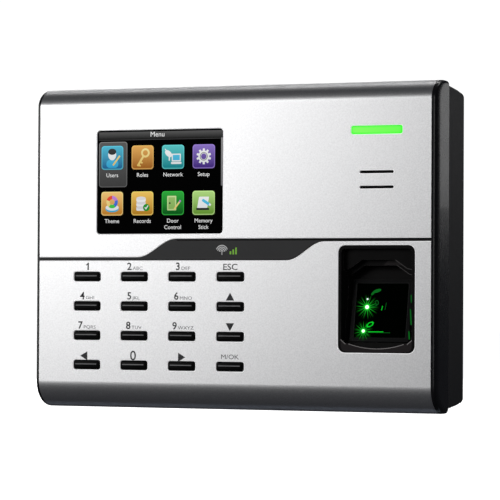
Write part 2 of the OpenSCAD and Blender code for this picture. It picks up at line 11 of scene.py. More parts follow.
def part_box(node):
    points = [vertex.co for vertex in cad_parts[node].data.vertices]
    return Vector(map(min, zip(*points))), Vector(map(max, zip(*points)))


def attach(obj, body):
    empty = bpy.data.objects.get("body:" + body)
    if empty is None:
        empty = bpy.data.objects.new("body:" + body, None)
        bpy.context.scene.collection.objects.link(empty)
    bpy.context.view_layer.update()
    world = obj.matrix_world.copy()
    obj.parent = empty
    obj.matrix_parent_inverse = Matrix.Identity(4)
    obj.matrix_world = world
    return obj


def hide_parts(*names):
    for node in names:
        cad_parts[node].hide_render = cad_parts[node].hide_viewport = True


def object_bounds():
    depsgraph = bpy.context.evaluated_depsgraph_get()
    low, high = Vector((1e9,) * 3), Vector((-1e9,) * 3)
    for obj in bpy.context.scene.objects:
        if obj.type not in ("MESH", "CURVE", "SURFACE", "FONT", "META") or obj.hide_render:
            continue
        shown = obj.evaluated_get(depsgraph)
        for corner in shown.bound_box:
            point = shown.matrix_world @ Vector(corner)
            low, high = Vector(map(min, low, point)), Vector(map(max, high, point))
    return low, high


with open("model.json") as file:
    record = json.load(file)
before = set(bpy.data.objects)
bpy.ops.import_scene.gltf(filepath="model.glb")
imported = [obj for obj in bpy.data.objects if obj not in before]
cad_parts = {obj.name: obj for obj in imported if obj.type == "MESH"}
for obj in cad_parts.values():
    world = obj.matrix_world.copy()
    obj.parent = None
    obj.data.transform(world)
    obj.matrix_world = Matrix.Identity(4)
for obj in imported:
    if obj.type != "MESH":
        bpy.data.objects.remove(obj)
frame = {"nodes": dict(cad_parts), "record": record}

bl_info = {
    "name": "Fingerprint terminal",
    "version": (1, 0, 0),
    "blender": (4, 5, 0),
    "location": "3D View > Sidebar > Terminal",
    "description": "Builds a wall fingerprint terminal around its fixed frame",
    "category": "Object",
}

MM = 0.001
CAD_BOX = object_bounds()
BODY_OF = {node: body for body, nodes in frame["record"]["behaviour"]["bodies"].items() for node in nodes}
SLOT_OF = {part["node"]: part["material_slot"] for part in frame["record"]["subparts"]}

KEY_ROWS = (("1", "2", "3", "esc"), ("4", "5", "6", "up"),
            ("7", "8", "9", "down"), ("left", "0", "right", "ok"))
KEY_NAMES = [name for row in KEY_ROWS for name in row]
FLAT_TO_FRONT = Matrix.Rotation(math.radians(90), 4, "X")
LAYER = 0.002 * MM  # step between flat shapes laid on one another


def length(name, default, description):
    return FloatProperty(name=name, default=default * MM, description=description, unit="LENGTH")


def colour(name, default, description):
    return FloatVectorProperty(name=name, default=default, size=3, subtype="COLOR", min=0, max=1,
                               description=description)


class TerminalCaseSizes(bpy.types.PropertyGroup):
    wall: length("Panel wall", 1.8, "Thickness of the silver panels")
    edge: length("Edge", 0.32, "Width of the cut edge round each opening")
    top_arc_depth: length("Top arc depth", 14, "How far back the top bend runs")
    top_arc_height: length("Top arc height", 8.5, "How far down the top bend reaches")
    bottom_arc_depth: length("Bottom arc depth", 15, "How far back the bottom bend runs")
    bottom_arc_height: length("Bottom arc height", 11.5, "How far up the bottom bend reaches")
    cap_round: length("Cap rounding", 7.2, "How far back each end cap rounds")
    cap_edge: length("Cap edge", 2.8, "How far the end caps round at the top and bottom")
    housing_draft: length("Housing draft", 1.75, "How far the rear housing draws in at its back")
    corner_depth: length("Corner depth", 7.0, "How far forward the rear corners round")
    corner_height: length("Corner height", 5.0, "How far the rear corners round up and down")
    strip_thin: length("Strip ends", 1.15, "Height of the accent strip where it is thin")
    strip_proud: length("Strip proud", 0.2, "How far the accent strip stands off the panels")
    housing_edge: length("Housing edge", 0.35, "Rounding of the moulded housing's edges")


class TerminalScreenSizes(bpy.types.PropertyGroup):
    rim: length("Lens rim", 2.5, "Width of the lens's hidden rim")
    corner: length("Corner", 1.5, "Corner radius of the display opening")
    picture_depth: length("Picture depth", 0.9, "How far the picture lies behind the front face")
    icon: length("Icon", 10.2, "Side of an icon")
    icon_pitch: length("Icon pitch", 14.15, "Distance between icons across")
    header: length("Header", 4.0, "Height of the title bar")
    caption: length("Caption", 2.45, "Letter size of the captions")


class TerminalKeySizes(bpy.types.PropertyGroup):
    gap: length("Gap", 0.3, "Clearance round a key")
    opening_w: length("Opening width", 12.6, "Width of a key opening")
    opening_h: length("Opening height", 4.15, "Height of a key opening")
    crown: length("Crown", 0.55, "Rounding of a key's front edges")
    digit: length("Digit", 4.4, "Letter size of the digits")
    letter: length("Letter", 2.0, "Letter size of the small letters")


class TerminalFinishes(bpy.types.PropertyGroup):
    silver: colour("Silver", (0.74, 0.74, 0.745), "Silver paint")
    black: colour("Black", (0.006, 0.006, 0.007), "Gloss black plastic")
    housing: colour("Housing", (0.017, 0.017, 0.019), "Rear housing plastic")
    status: colour("Status", (0.02, 1.0, 0.01), "Lit status bar")
    legend: colour("Legend", (0.014, 0.014, 0.017), "Printed legends")


class TerminalStage(bpy.types.PropertyGroup):
    azimuth: FloatProperty(name="Azimuth", default=math.radians(21.657), subtype="ANGLE",
                           description="Camera angle round the terminal")
    elevation: FloatProperty(name="Elevation", default=math.radians(-1.071), subtype="ANGLE",
                             description="Camera angle above the horizon")
    roll: FloatProperty(name="Roll", default=math.radians(0.285), subtype="ANGLE", description="Camera roll")
    distance: FloatProperty(name="Distance", default=1.13006, unit="LENGTH", description="Camera distance")
    lens: FloatProperty(name="Lens", default=190.23, description="Focal length in millimetres")


# ---------------------------------------------------------------- shader maths

class Wire:
    """One shader socket, so that shader maths reads as a Python expression."""

    def __init__(self, paint, socket):
        self.paint = paint
        self.socket = socket

    def __add__(self, other):
        return self.paint.math("ADD", self, other)

    __radd__ = __add__

    def __sub__(self, other):
        return self.paint.math("SUBTRACT", self, other)

    def __rsub__(self, other):
        return self.paint.math("SUBTRACT", other, self)

    def __mul__(self, other):
        return self.paint.math("MULTIPLY", self, other)

    __rmul__ = __mul__

    def __truediv__(self, other):
        return self.paint.math("DIVIDE", self, other)

    def __pow__(self, other):
        return self.paint.math("POWER", self, other)

    def clamped(self):
        return self.paint.node("ShaderNodeClamp", inputs={"Value": self})


class Paint:
    """A material and the nodes that feed its shader."""

    def __init__(self, name, **constants):
        self.material = bpy.data.materials.new(name)
        self.material.use_nodes = True
        self.tree = self.material.node_tree
        self.tree.nodes.clear()
        self.out = self.tree.nodes.new("ShaderNodeOutputMaterial")
        self.shader = self.tree.nodes.new("ShaderNodeBsdfPrincipled")
        self.tree.links.new(self.shader.outputs["BSDF"], self.out.inputs["Surface"])
        self.set(**constants)

    def set(self, **values):
        """Sets or links the shader's sockets; a socket's name is written with underscores."""
        for key, value in values.items():
            self.feed(self.shader.inputs[key.replace("_", " ")], value)
        return self

    def feed(self, socket, value):
        if isinstance(value, Wire):
            self.tree.links.new(value.socket, socket)
        elif socket.type == "RGBA":
            socket.default_value = (*value[:3], 1)
        else:
            socket.default_value = value

    def node(self, kind, settings=None, inputs=None, output=0):
        """Adds a node of a type with its settings, then its inputs, and returns one output."""
        node = self.tree.nodes.new(kind)
        for key, value in (settings or {}).items():
            if key == "stops":
                ramp = node.color_ramp
                while len(ramp.elements) < len(value):
                    ramp.elements.new(0.5)
                for element, (place, shade) in zip(ramp.elements, value):
                    element.position = place
                    element.color = (*shade, 1)
            else:
                setattr(node, key, value)
        for key, value in (inputs or {}).items():
            self.feed(node.inputs[key], value)
        return Wire(self, node.outputs[output])

    def math(self, operation, first, second=0.0):
        return self.node("ShaderNodeMath", {"operation": operation}, {0: first, 1: second})

    def point(self):
        return self.node("ShaderNodeTexCoord", output="Object")

    def axes(self, vector=None):
        """The three coordinates of a point on the object."""
        node = self.node("ShaderNodeSeparateXYZ", inputs={0: vector or self.point()}).socket.node
        return [Wire(self, output) for output in node.outputs]

    def stretched(self, scale, turn=(0, 0, 0), place=(0, 0, 0)):
        return self.node("ShaderNodeMapping", inputs={"Vector": self.point(), "Location": place,
                                                      "Rotation": turn, "Scale": scale})

    def noise(self, size, detail=2.0, vector=None):
        """Soft noise whose features are about size metres across."""
        return self.node("ShaderNodeTexNoise", {}, {"Vector": vector or self.point(), "Scale": 1 / size,
                                                    "Detail": detail})

    def tint(self, factor, low, high):
        return self.node("ShaderNodeMix", {"data_type": "RGBA"}, {0: factor, 6: low, 7: high}, output=2)

    def bump(self, height, distance, strength=1.0):
        return self.node("ShaderNodeBump", {}, {"Height": height, "Distance": distance, "Strength": strength},
                         output="Normal")

    def ramp(self, factor, stops):
        return self.node("ShaderNodeValToRGB", {"stops": stops}, {"Fac": factor}, output="Color")


def shade(rgb, factor):
    return tuple(min(1.0, c * factor) for c in rgb)


def silver_paint(rgb):
    paint = Paint("silver_paint", Metallic=0.92)
    flake = paint.noise(0.55 * MM, 3)
    cloud = paint.noise(30 * MM, 1)
    grain = (flake - 0.5) * 1.3 + (cloud - 0.5) * 0.05 + 0.5
    paint.set(Base_Color=paint.tint(grain.clamped(), shade(rgb, 0.84), shade(rgb, 1.16)),
              Roughness=flake * 0.1 + 0.36,
              Normal=paint.bump(flake, 0.006 * MM, 0.5))
    return paint.material


def cut_edge_highlight():
    """Cut metal round the openings in the silver panels, glowing white as a painted highlight."""
    paint = Paint("cut_edge_highlight", Emission_Strength=0.45)
    line = paint.noise(0.8 * MM, 2)
    bright = paint.tint(line, (0.93, 0.93, 0.94), (1.0, 1.0, 1.0))
    paint.set(Base_Color=bright, Roughness=line * 0.1 + 0.5, Emission_Color=bright)
    return paint.material


def gloss_black(name, rgb, rough=0.1, gloss=0.5):
    paint = Paint(name, Coat_Roughness=0.05, Specular_IOR_Level=gloss)
    haze = paint.noise(9 * MM, 3)
    speck = paint.noise(0.35 * MM, 2)
    paint.set(Base_Color=paint.tint(speck, rgb, shade(rgb, 2.2)), Roughness=haze * 0.1 + rough,
              Coat_Weight=(haze * 0.4 + 0.2) * gloss, Normal=paint.bump(speck, 0.002 * MM, 0.3))
    return paint.material


def moulded(name, rgb, grain=0.35, rough=0.5, depth=0.02, gloss=0.5):
    """Plastic with a spark-eroded texture."""
    paint = Paint(name, Specular_IOR_Level=gloss)
    texture = paint.noise(grain * MM, 4)
    wear = paint.noise(22 * MM, 3)
    paint.set(Base_Color=paint.tint(wear * 0.6 + texture * 0.4, shade(rgb, 0.72), shade(rgb, 1.35)),
              Roughness=texture * 0.16 + (rough - 0.08),
              Normal=paint.bump(texture, depth * MM, 0.6))
    return paint.material


def steel(name, rgb, along="X", rough=0.34):
    """Metal with fine lines along one axis."""
    paint = Paint(name, Metallic=0.8)
    scale = [1.0, 1.0, 1.0]
    scale["XYZ".index(along)] = 0.04
    line = paint.noise(0.25 * MM, 3, paint.stretched(scale))
    spangle = paint.node("ShaderNodeTexVoronoi", {}, {"Vector": paint.point(), "Scale": 160.0},
                         output="Distance")
    paint.set(Base_Color=paint.tint(spangle * 90 + line * 0.3, shade(rgb, 0.82), shade(rgb, 1.1)),
              Roughness=line * 0.18 + rough - 0.09, Normal=paint.bump(line, 0.004 * MM, 0.4))
    return paint.material


def clear_glass(name, rgb, alpha, rough=0.03, gloss=0.5):
    paint = Paint(name, IOR=1.5, Specular_IOR_Level=gloss)
    smear = paint.noise(12 * MM, 3)
    paint.set(Base_Color=paint.tint(smear, rgb, shade(rgb, 1.4)), Roughness=smear * 0.03 + rough,
              Alpha=smear * 0.02 + alpha)
    return paint.material


def circuit(name):
    """Solder mask over copper tracks."""
    paint = Paint(name)
    x, _, z = paint.axes()
    cell = paint.node("ShaderNodeTexBrick", {"offset": 0.5}, {
        "Vector": paint.node("ShaderNodeCombineXYZ", inputs={0: x, 1: z}), "Scale": 140.0,
        "Mortar Size": 0.03, "Color1": (0, 0, 0), "Color2": (0.5, 0.5, 0.5), "Mortar": (1, 1, 1),
    }, output="Fac")
    blotch = paint.noise(6 * MM, 2)
    paint.set(Base_Color=paint.tint(cell * 0.5 + blotch * 0.3, (0.008, 0.09, 0.03), (0.05, 0.3, 0.1)),
              Roughness=blotch * 0.15 + 0.3, Normal=paint.bump(cell, 0.03 * MM, 0.7))
    return paint.material


def woven(name, rgb):
    paint = Paint(name, Roughness=0.95)
    x, _, z = paint.axes()
    threads = paint.math("SINE", x * 9000) * paint.math("SINE", z * 9000)
    paint.set(Base_Color=paint.tint((threads + 1) * 0.5, shade(rgb, 0.5), shade(rgb, 2.2)),
              Normal=paint.bump(threads, 0.05 * MM, 0.8))
    return paint.material


def striped(name, low, high, pitch):
    """Flat cable with its conductors showing."""
    paint = Paint(name)
    x, _, _ = paint.axes()
    stripe = paint.math("SINE", x * (2 * math.pi / (pitch * MM))) * 0.5 + 0.5
    paint.set(Base_Color=paint.tint(stripe, low, high), Roughness=stripe * 0.1 + 0.4,
              Normal=paint.bump(stripe, 0.05 * MM, 0.5))
    return paint.material


def lit(name, low, high, strength, bottom, top, base=0.0):
    """A lit surface that shades from one colour at its bottom to another at its top."""
    paint = Paint(name, Roughness=0.6, Emission_Strength=strength, Specular_IOR_Level=0.1)
    _, _, z = paint.axes()
    height = ((z - bottom) / max(top - bottom, 1e-6)).clamped()
    blotch = paint.noise(0.9 * MM, 2) * 0.12 - 0.06
    glow = paint.tint((height + blotch).clamped(), low, high)
    paint.set(Emission_Color=glow, Base_Color=paint.tint(height, shade(low, base), shade(high, base)))
    return paint.material


def status_lens(rgb, box):
    """Diffusing bar, brightest over its lamps and darker at its edges."""
    low, high = box
    paint = Paint("status_lens", Roughness=0.35, Emission_Strength=1.0)
    x, _, z = paint.axes()
    across = (x - low.x) / (high.x - low.x)
    up = (z - low.z) / (high.z - low.z)
    rim = (paint.math("ABSOLUTE", up - 0.5) * 2) ** 3
    side = (paint.math("ABSOLUTE", across - 0.5) * 2) ** 16
    speckle = paint.node("ShaderNodeTexVoronoi", {}, {
        "Vector": paint.stretched((1, 1, 1.5)), "Scale": 1400.0}, output="Distance")
    pale = ((1 - (rim + side).clamped()) * (0.5 - across * 0.25) + speckle * 0.1).clamped()
    paint.set(Emission_Color=paint.tint(pale, rgb, (0.3, 1.0, 0.13)),
              Base_Color=paint.tint(pale, shade(rgb, 0.06), (0.03, 0.1, 0.02)))
    return paint.material


def lamp_star(name, centre, radius, phase, rays=14):
    """Light scattered in rays by the sensor's glass."""
    paint = Paint(name, Roughness=1.0)
    x, _, z = paint.axes()
    dx = x - centre.x
    dz = z - centre.z
    distance = paint.math("SQRT", dx * dx + dz * dz) / radius
    angle = paint.math("ARCTAN2", dz, dx)
    spokes = paint.math("ABSOLUTE", paint.math("COSINE", angle * (rays / 2) + phase)) ** 30
    thin = paint.math("ABSOLUTE", paint.math("COSINE", angle * (rays * 0.75) - phase)) ** 60
    fade = (1 - distance).clamped()
    core = (1 - distance * 6.0).clamped()
    halo = (1 - distance * 2.7).clamped() ** 2
    mask = (core * 3 + halo * 0.7 + (spokes * 0.7 + thin * 0.5) * fade ** 2.2).clamped()
    glow = paint.tint((core * 1.7).clamped(), (0.02, 0.95, 0.05), (0.95, 1, 0.92))
    paint.set(Base_Color=(0, 0, 0), Emission_Color=glow, Emission_Strength=2.2, Alpha=mask,
              Specular_IOR_Level=0.0)
    return paint.material


def printed(name, rgb):
    """Ink with a faintly uneven lay."""
    paint = Paint(name)
    lay = paint.noise(0.5 * MM, 2)
    paint.set(Base_Color=paint.tint(lay, shade(rgb, 0.8), shade(rgb, 1.3)), Roughness=lay * 0.1 + 0.5)
    return paint.material


# ---------------------------------------------------------------- mesh helpers

def centre(node):
    low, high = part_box(node)
    return (low + high) / 2


def extent(node):
    low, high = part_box(node)
    return high - low


def smoothed(mesh, angle):
    """Smooth shading, broken where faces meet at more than an angle in degrees."""
    for polygon in mesh.polygons:
        polygon.use_smooth = True
    mesh.set_sharp_from_angle(angle=math.radians(angle))


def piece(name, bm, materials, node=None, body=None, replaces=(), smooth=None):
    """Makes a finished piece from a bmesh: it rides on a body and may stand for CAD nodes."""
    mesh = bpy.data.meshes.new(name)
    bm.to_mesh(mesh)
    bm.free()
    made = bpy.data.objects.new(name, mesh)
    bpy.context.scene.collection.objects.link(made)
    for material in materials:
        mesh.materials.append(material)
    if smooth is not None:
        smoothed(mesh, smooth)
    lead = node or (replaces[0] if replaces else None)
    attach(made, body or BODY_OF[lead])
    if replaces:
        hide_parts(*replaces)
    return made


def bevelled(made, width, segments=2, angle=32, material=-1):
    """Rounds a piece's sharp edges."""
    bevel = made.modifiers.new("edges", "BEVEL")
    bevel.width = width
    bevel.segments = segments
    bevel.limit_method = "ANGLE"
    bevel.angle_limit = math.radians(angle)
    bevel.material = material
    bevel.harden_normals = False
    weighted = made.modifiers.new("weights", "WEIGHTED_NORMAL")
    weighted.keep_sharp = True
    return made


def settled(made):
    """Replaces a piece's mesh by the one its modifiers make."""
    depsgraph = bpy.context.evaluated_depsgraph_get()
    mesh = bpy.data.meshes.new_from_object(made.evaluated_get(depsgraph))
    made.modifiers.clear()
    made.data = mesh
    return made


def prism(bm, outline, low, high, axis="Y"):
    """Extrudes a closed outline of (first, second) pairs along an axis."""
    turn = {"Y": lambda a, b: (a, low, b), "X": lambda a, b: (low, a, b), "Z": lambda a, b: (a, b, low)}[axis]
    step = {"Y": (0, 1, 0), "X": (1, 0, 0), "Z": (0, 0, 1)}[axis]
    face = bm.faces.new([bm.verts.new(turn(a, b)) for a, b in outline])
    grown = bmesh.ops.extrude_face_region(bm, geom=[face])
    moved = [item for item in grown["geom"] if isinstance(item, bmesh.types.BMVert)]
    bmesh.ops.translate(bm, verts=moved, vec=Vector(step) * (high - low))
    bmesh.ops.recalc_face_normals(bm, faces=bm.faces)


def lofted(bm, loops):
    """Joins closed loops of points into a solid whose first step takes the second material."""
    rings = []
    for loop in loops:
        verts = [bm.verts.new(point) for point in loop]
        rings.append([bm.edges.new((verts[k - 1], verts[k])) for k in range(len(verts))])
    for near, far in zip(rings, rings[1:]):
        for face in bmesh.ops.bridge_loops(bm, edges=near + far)["faces"]:
            face.material_index = 1 if near is rings[0] else 0
    for ring in (rings[0], rings[-1]):
        bmesh.ops.contextual_create(bm, geom=ring)
    bmesh.ops.recalc_face_normals(bm, faces=bm.faces)


def arc(cx, cy, rx, ry, start, end, steps=8):
    """Points of an elliptical arc, angles in degrees."""
    turns = [math.radians(start + (end - start) * i / steps) for i in range(steps + 1)]
    return [(cx + rx * math.cos(t), cy + ry * math.sin(t)) for t in turns]


def rounded(cx, cy, w, h, r, steps=6):
    """Outline of a rectangle with round corners."""
    x, y = w / 2 - r, h / 2 - r
    corners = ((x, y, 0), (-x, y, 90), (-x, -y, 180), (x, -y, 270))
    return [p for px, py, a in corners for p in arc(cx + px, cy + py, r, r, a, a + 90, steps)]


def wave(x0, x1, z0, z1, steps=16):
    """Points of a soft S between two levels."""
    return [(x0 + (x1 - x0) * i / steps, z0 + (z1 - z0) * (1 - math.cos(math.pi * i / steps)) / 2)
            for i in range(steps + 1)]


def cut(made, tool, operation="DIFFERENCE"):
    """Cuts a piece with another mesh, which is used up."""
    boolean = made.modifiers.new("cut", "BOOLEAN")
    boolean.object = tool
    boolean.operation = operation
    boolean.solver = "EXACT"
    settled(made)
    bpy.data.objects.remove(tool)
    return made


def loose(bm, name="tool"):
    mesh = bpy.data.meshes.new(name)
    bm.to_mesh(mesh)
    bm.free()
    made = bpy.data.objects.new(name, mesh)
    bpy.context.scene.collection.objects.link(made)
    return made


def softened(node, width, segments=2, angle=32, material=None, smooth=35, edge=None, within=None):
    """A copy of a CAD node, with its flat faces joined and its edges rounded, kept within another mesh."""
    bm = bmesh.new()
    bm.from_mesh(frame["nodes"][node].data)
    bmesh.ops.remove_doubles(bm, verts=bm.verts, dist=0.002 * MM)
    bmesh.ops.dissolve_limit(bm, angle_limit=math.radians(0.4), verts=bm.verts, edges=bm.edges)
    materials = [material, edge] if edge else [material]
    made = piece(node + "_finished", bm, materials, replaces=(node,), smooth=smooth)
    if within:
        cut(made, within, "INTERSECT")
        smoothed(made.data, smooth)
    return bevelled(made, width, segments, angle, 1 if edge else -1)


def lettering(bm, text, size, x, z, y, align="CENTER", index=0, squeeze=1.0, weight=0.018):
    """Adds flat lettering that faces the front."""
    curve = bpy.data.curves.new("lettering", "FONT")
    curve.body = text
    curve.offset = weight
    curve.align_x = align
    curve.align_y = "BOTTOM_BASELINE"
    curve.resolution_u = 3
    held = bpy.data.objects.new("lettering", curve)
    bpy.context.scene.collection.objects.link(held)
    depsgraph = bpy.context.evaluated_depsgraph_get()
    depsgraph.update()
    mesh = bpy.data.meshes.new_from_object(held.evaluated_get(depsgraph))
    scale = Matrix.Diagonal((squeeze * size, size, size, 1))
    mesh.transform(Matrix.Translation((x, y, z)) @ FLAT_TO_FRONT @ scale)
    added = len(bm.faces)
    bm.from_mesh(mesh)
    bm.faces.ensure_lookup_table()
    for face in bm.faces[added:]:
        face.material_index = index
    bpy.data.objects.remove(held)
    bpy.data.meshes.remove(mesh)


class Decal:
    """Flat shapes laid on one another, all facing the front."""

    def __init__(self, y):
        self.bm = bmesh.new()
        self.y = y
        self.layer = 0
        self.laid = set()

    def lay(self, x, z, index, turn=0.0):
        """Puts the newest shape in its place, just ahead of the one before it."""
        self.layer += 1
        fresh = [vert for vert in self.bm.verts if vert not in self.laid]
        self.laid.update(fresh)
        place = Matrix.Translation((x, self.y - self.layer * LAYER, z))
        bmesh.ops.transform(self.bm, verts=fresh,
                            matrix=place @ FLAT_TO_FRONT @ Matrix.Rotation(turn, 4, "Z"))
        for face in {face for vert in fresh for face in vert.link_faces}:
            face.material_index = index

    def disc(self, x, z, r, index, squash=1.0, segments=24, turn=0.0):
        made = bmesh.ops.create_circle(self.bm, cap_ends=True, segments=segments, radius=r)["verts"]
        bmesh.ops.scale(self.bm, verts=made, vec=(1, squash, 1))
        self.lay(x, z, index, turn)

    def bar(self, x, z, w, h, index, r=0.0, turn=0.0, lean=0.0):
        made = bmesh.ops.create_grid(self.bm, x_segments=1, y_segments=1, size=0.5)["verts"]
        shape = Matrix(((w, lean, 0, 0), (0, h, 0, 0), (0, 0, 1, 0), (0, 0, 0, 1)))
        bmesh.ops.transform(self.bm, verts=made, matrix=shape)
        if r:
            bmesh.ops.bevel(self.bm, geom=made, offset=r, offset_type="OFFSET", affect="VERTICES", segments=5,
                            profile=0.5, material=-1)
        self.lay(x, z, index, turn)

    def shape(self, outline, index):
        self.bm.faces.new([self.bm.verts.new((x, z, 0)) for x, z in outline])
        self.lay(0, 0, index)

    def line(self, points, width, index):
        for (xa, za), (xb, zb) in zip(points, points[1:]):
            self.bar((xa + xb) / 2, (za + zb) / 2, math.dist((xa, za), (xb, zb)) + width * 0.6, width, index,
                     r=width * 0.4, turn=math.atan2(zb - za, xb - xa))

    def ring(self, x, z, r_out, r_in, index, segments=28, squash=1.0, turn=0.0):
        made = []
        for r in (r_out, r_in):
            made += bmesh.ops.create_circle(self.bm, segments=segments, radius=r)["verts"]
        bmesh.ops.bridge_loops(self.bm, edges=list({edge for vert in made for edge in vert.link_edges}))
        bmesh.ops.scale(self.bm, verts=made, vec=(1, squash, 1))
        self.lay(x, z, index, turn)

    def arc_band(self, x, z, r, width, start, end, index, segments=18):
        """Part of a ring, between two angles in degrees."""
        made = [self.bm.verts.new((r - width / 2, 0, 0)), self.bm.verts.new((r + width / 2, 0, 0))]
        edge = self.bm.edges.new(made)
        opening = Matrix.Rotation(math.radians(start), 3, "Z")
        bmesh.ops.rotate(self.bm, verts=made, cent=(0, 0, 0), matrix=opening)
        bmesh.ops.spin(self.bm, geom=made + [edge], cent=(0, 0, 0), axis=(0, 0, 1),
                       angle=math.radians(end - start), steps=segments, use_duplicate=False)
        self.lay(x, z, index)

    def finish(self, name, materials, node):
        for face in self.bm.faces:
            face.normal_update()
            if face.normal.y > 0:
                face.normal_flip()
        return piece(name, self.bm, materials, node=node)


# ---------------------------------------------------------------- the case

UPPER_BEND = (-42.6 * MM, -24.6 * MM)  # where the accent strip's upper edge rises
LOWER_BEND = (25.4 * MM, 42.2 * MM)  # where its lower edge rises
PANEL_SEAM = 0.12 * MM  # gap between a panel and the accent strip
CUT_DEPTH = 4 * MM

# Openings in the panels: width, height and corner radius
STATUS_OPENING = (22.3 * MM, 3.5 * MM, 0.8 * MM)
SPEAKER_SLOT = (14.8 * MM, 1.2 * MM, 0.59 * MM)
SLOT_OFFSET = 3.15 * MM
DISPLAY_CORNER = 1.5 * MM
KEY_CORNER = 1 * MM
WELL_CORNER = 3 * MM
WELL_CLEARANCE = 0.3 * MM

CAP_SQUARE = 0.7  # an end cap turns its corner more squarely the lower this is
CAP_STEPS = 12


def window_outline():
    """The display opening's middle, width and height."""
    sizes = bpy.context.scene.terminal_screen
    c, e = centre("display_window"), extent("display_window")
    return c, e.x - 2 * sizes.rim, e.z - 2 * sizes.rim


def strip_edges():
    """The accent strip's upper and lower edges, from left to right."""
    sizes = bpy.context.scene.terminal_case
    low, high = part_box("accent_strip")
    left_top, right_bottom = low.z + sizes.strip_thin, high.z - sizes.strip_thin
    upper = [(low.x, left_top)] + wave(*UPPER_BEND, left_top, high.z) + [(high.x, high.z)]
    lower = [(low.x, low.z)] + wave(*LOWER_BEND, low.z, right_bottom) + [(high.x, right_bottom)]
    return upper, lower


def casing_outline(inset=0.0, edge=None, steps=28):
    """Side outline of the front casing as (y, z) points.

    It is drawn in at the front by inset, and at the top and bottom by edge.
    """
    edge = inset if edge is None else edge
    sizes = bpy.context.scene.terminal_case
    low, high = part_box("right_end_cap")
    front, back = low.y, high.y
    bottom = arc(front + sizes.bottom_arc_depth, low.z + sizes.bottom_arc_height,
                 sizes.bottom_arc_depth - inset, sizes.bottom_arc_height - edge, 270, 180, steps)
    top = arc(front + sizes.top_arc_depth, high.z - sizes.top_arc_height,
              sizes.top_arc_depth - inset, sizes.top_arc_height - edge, 180, 90, steps)
    return [(back, low.z + edge)] + bottom + top + [(back, high.z - edge)]


def opening_tool(front, edge):
    """Everything cut through the silver panels, each opening with its front edge broken."""
    keys = bpy.context.scene.terminal_keys
    c, w, h = window_outline()
    openings = [(c, w, h, DISPLAY_CORNER), (centre("light_pipe"), *STATUS_OPENING)]
    speaker = centre("speaker")
    openings += [(speaker + Vector((0, 0, side * SLOT_OFFSET)), *SPEAKER_SLOT) for side in (-1, 1)]
    openings += [(centre("key_" + name), keys.opening_w, keys.opening_h, KEY_CORNER) for name in KEY_NAMES]
    size = extent("sensor_bezel")
    openings.append((centre("sensor_bezel"), size.x + WELL_CLEARANCE, size.z + WELL_CLEARANCE, WELL_CORNER))
    bm = bmesh.new()
    for c, w, h, r in openings:
        lofted(bm, [[(x, y, z) for x, z in rounded(c.x, c.z, w + 2 * grow, h + 2 * grow, r + grow)]
                    for y, grow in ((front - edge, 2 * edge), (front + edge, 0), (front + CUT_DEPTH, 0))])
    return loose(bm)


class TERMINAL_OT_panels(bpy.types.Operator):
    """Upper and lower silver panels, bent back at the top and bottom"""
    bl_idname = "terminal.panels"
    bl_label = "Silver panels"

    def execute(self, context):
        sizes = context.scene.terminal_case
        # The second finish, on the broken edges round the openings and along the strip, glows white as a
        # painted highlight.
        finish = [silver_paint(context.scene.terminal_finishes.silver), cut_edge_highlight()]
        upper, lower = strip_edges()
        reach = 80 * MM
        for node, edge, side in (("upper_front_panel", upper, 1), ("lower_front_panel", lower, -1)):
            low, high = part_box(node)
            outer, inner = casing_outline(), casing_outline(sizes.wall)
            bm = bmesh.new()
            prism(bm, outer + inner[::-1], low.x, high.x, axis="X")
            panel = piece(node + "_skin", bm, finish, replaces=(node,))
            line = [(edge[0][0] - MM, edge[0][1])] + edge[1:-1] + [(edge[-1][0] + MM, edge[-1][1])]
            region = bmesh.new()
            lofted(region, [[(x, y, z + side * (PANEL_SEAM + drop)) for x, z in line]
                            + [(line[-1][0], y, side * reach), (line[0][0], y, side * reach)]
                            for y, drop in ((low.y - sizes.edge, 2 * sizes.edge), (low.y + sizes.edge, 0),
                                            (high.y + 2 * MM, 0))])
            cut(panel, loose(region), "INTERSECT")
            cut(panel, opening_tool(low.y, sizes.edge))
            smoothed(panel.data, 12)
            weighted = panel.modifiers.new("weights", "WEIGHTED_NORMAL")
            weighted.keep_sharp = True
        return {"FINISHED"}


class TERMINAL_OT_strip(bpy.types.Operator):
    """Black accent strip with a plain badge of arcs and bars"""
    bl_idname = "terminal.strip"
    bl_label = "Accent strip"

    def execute(self, context):
        sizes = context.scene.terminal_case
        low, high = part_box("accent_strip")
        upper, lower = strip_edges()
        bm = bmesh.new()
        prism(bm, upper + lower[::-1], low.y, high.y)
        black = moulded("strip_black", (0.022, 0.022, 0.023), 0.3, 0.6, 0.004)
        strip = piece("accent_strip_finished", bm, [black], replaces=("accent_strip",), smooth=30)
        bevelled(strip, sizes.strip_proud, 2, 40)
        badge = Decal(low.y - 0.005 * MM)
        x, z = -3.4 * MM, (low.z + high.z) / 2 - 0.9 * MM
        for i, reach in enumerate((200, 180, 160, 140)):
            badge.arc_band(x, z, (0.45 + 0.72 * i) * MM, 0.42 * MM, 90 - reach / 2, 90 + reach / 2, 0)
        badge.bar(x, z - 0.75 * MM, 0.36 * MM, 1.3 * MM, 0, r=0.1 * MM)
        for i, tall in enumerate((1.3, 2.1, 2.9)):
            badge.bar(x + (3.9 + i * 1.25) * MM, z - 1.2 * MM + tall * MM / 2, 0.75 * MM, tall * MM, 1,
                      r=0.15 * MM)
        right = high.x - 0.3 * MM
        badge.bar((right - 24 * MM) / 2, high.z - 0.5 * MM, right + 24 * MM, 0.6 * MM, 2)
        inks = [printed("badge_white", (1.0, 1.0, 1.0)), printed("badge_green", (0.3, 0.75, 0.05)),
                gloss_black("strip_line", (0.002, 0.002, 0.002), 0.4, 0.05)]
        badge.finish("strip_badge", inks, "accent_strip")
        return {"FINISHED"}


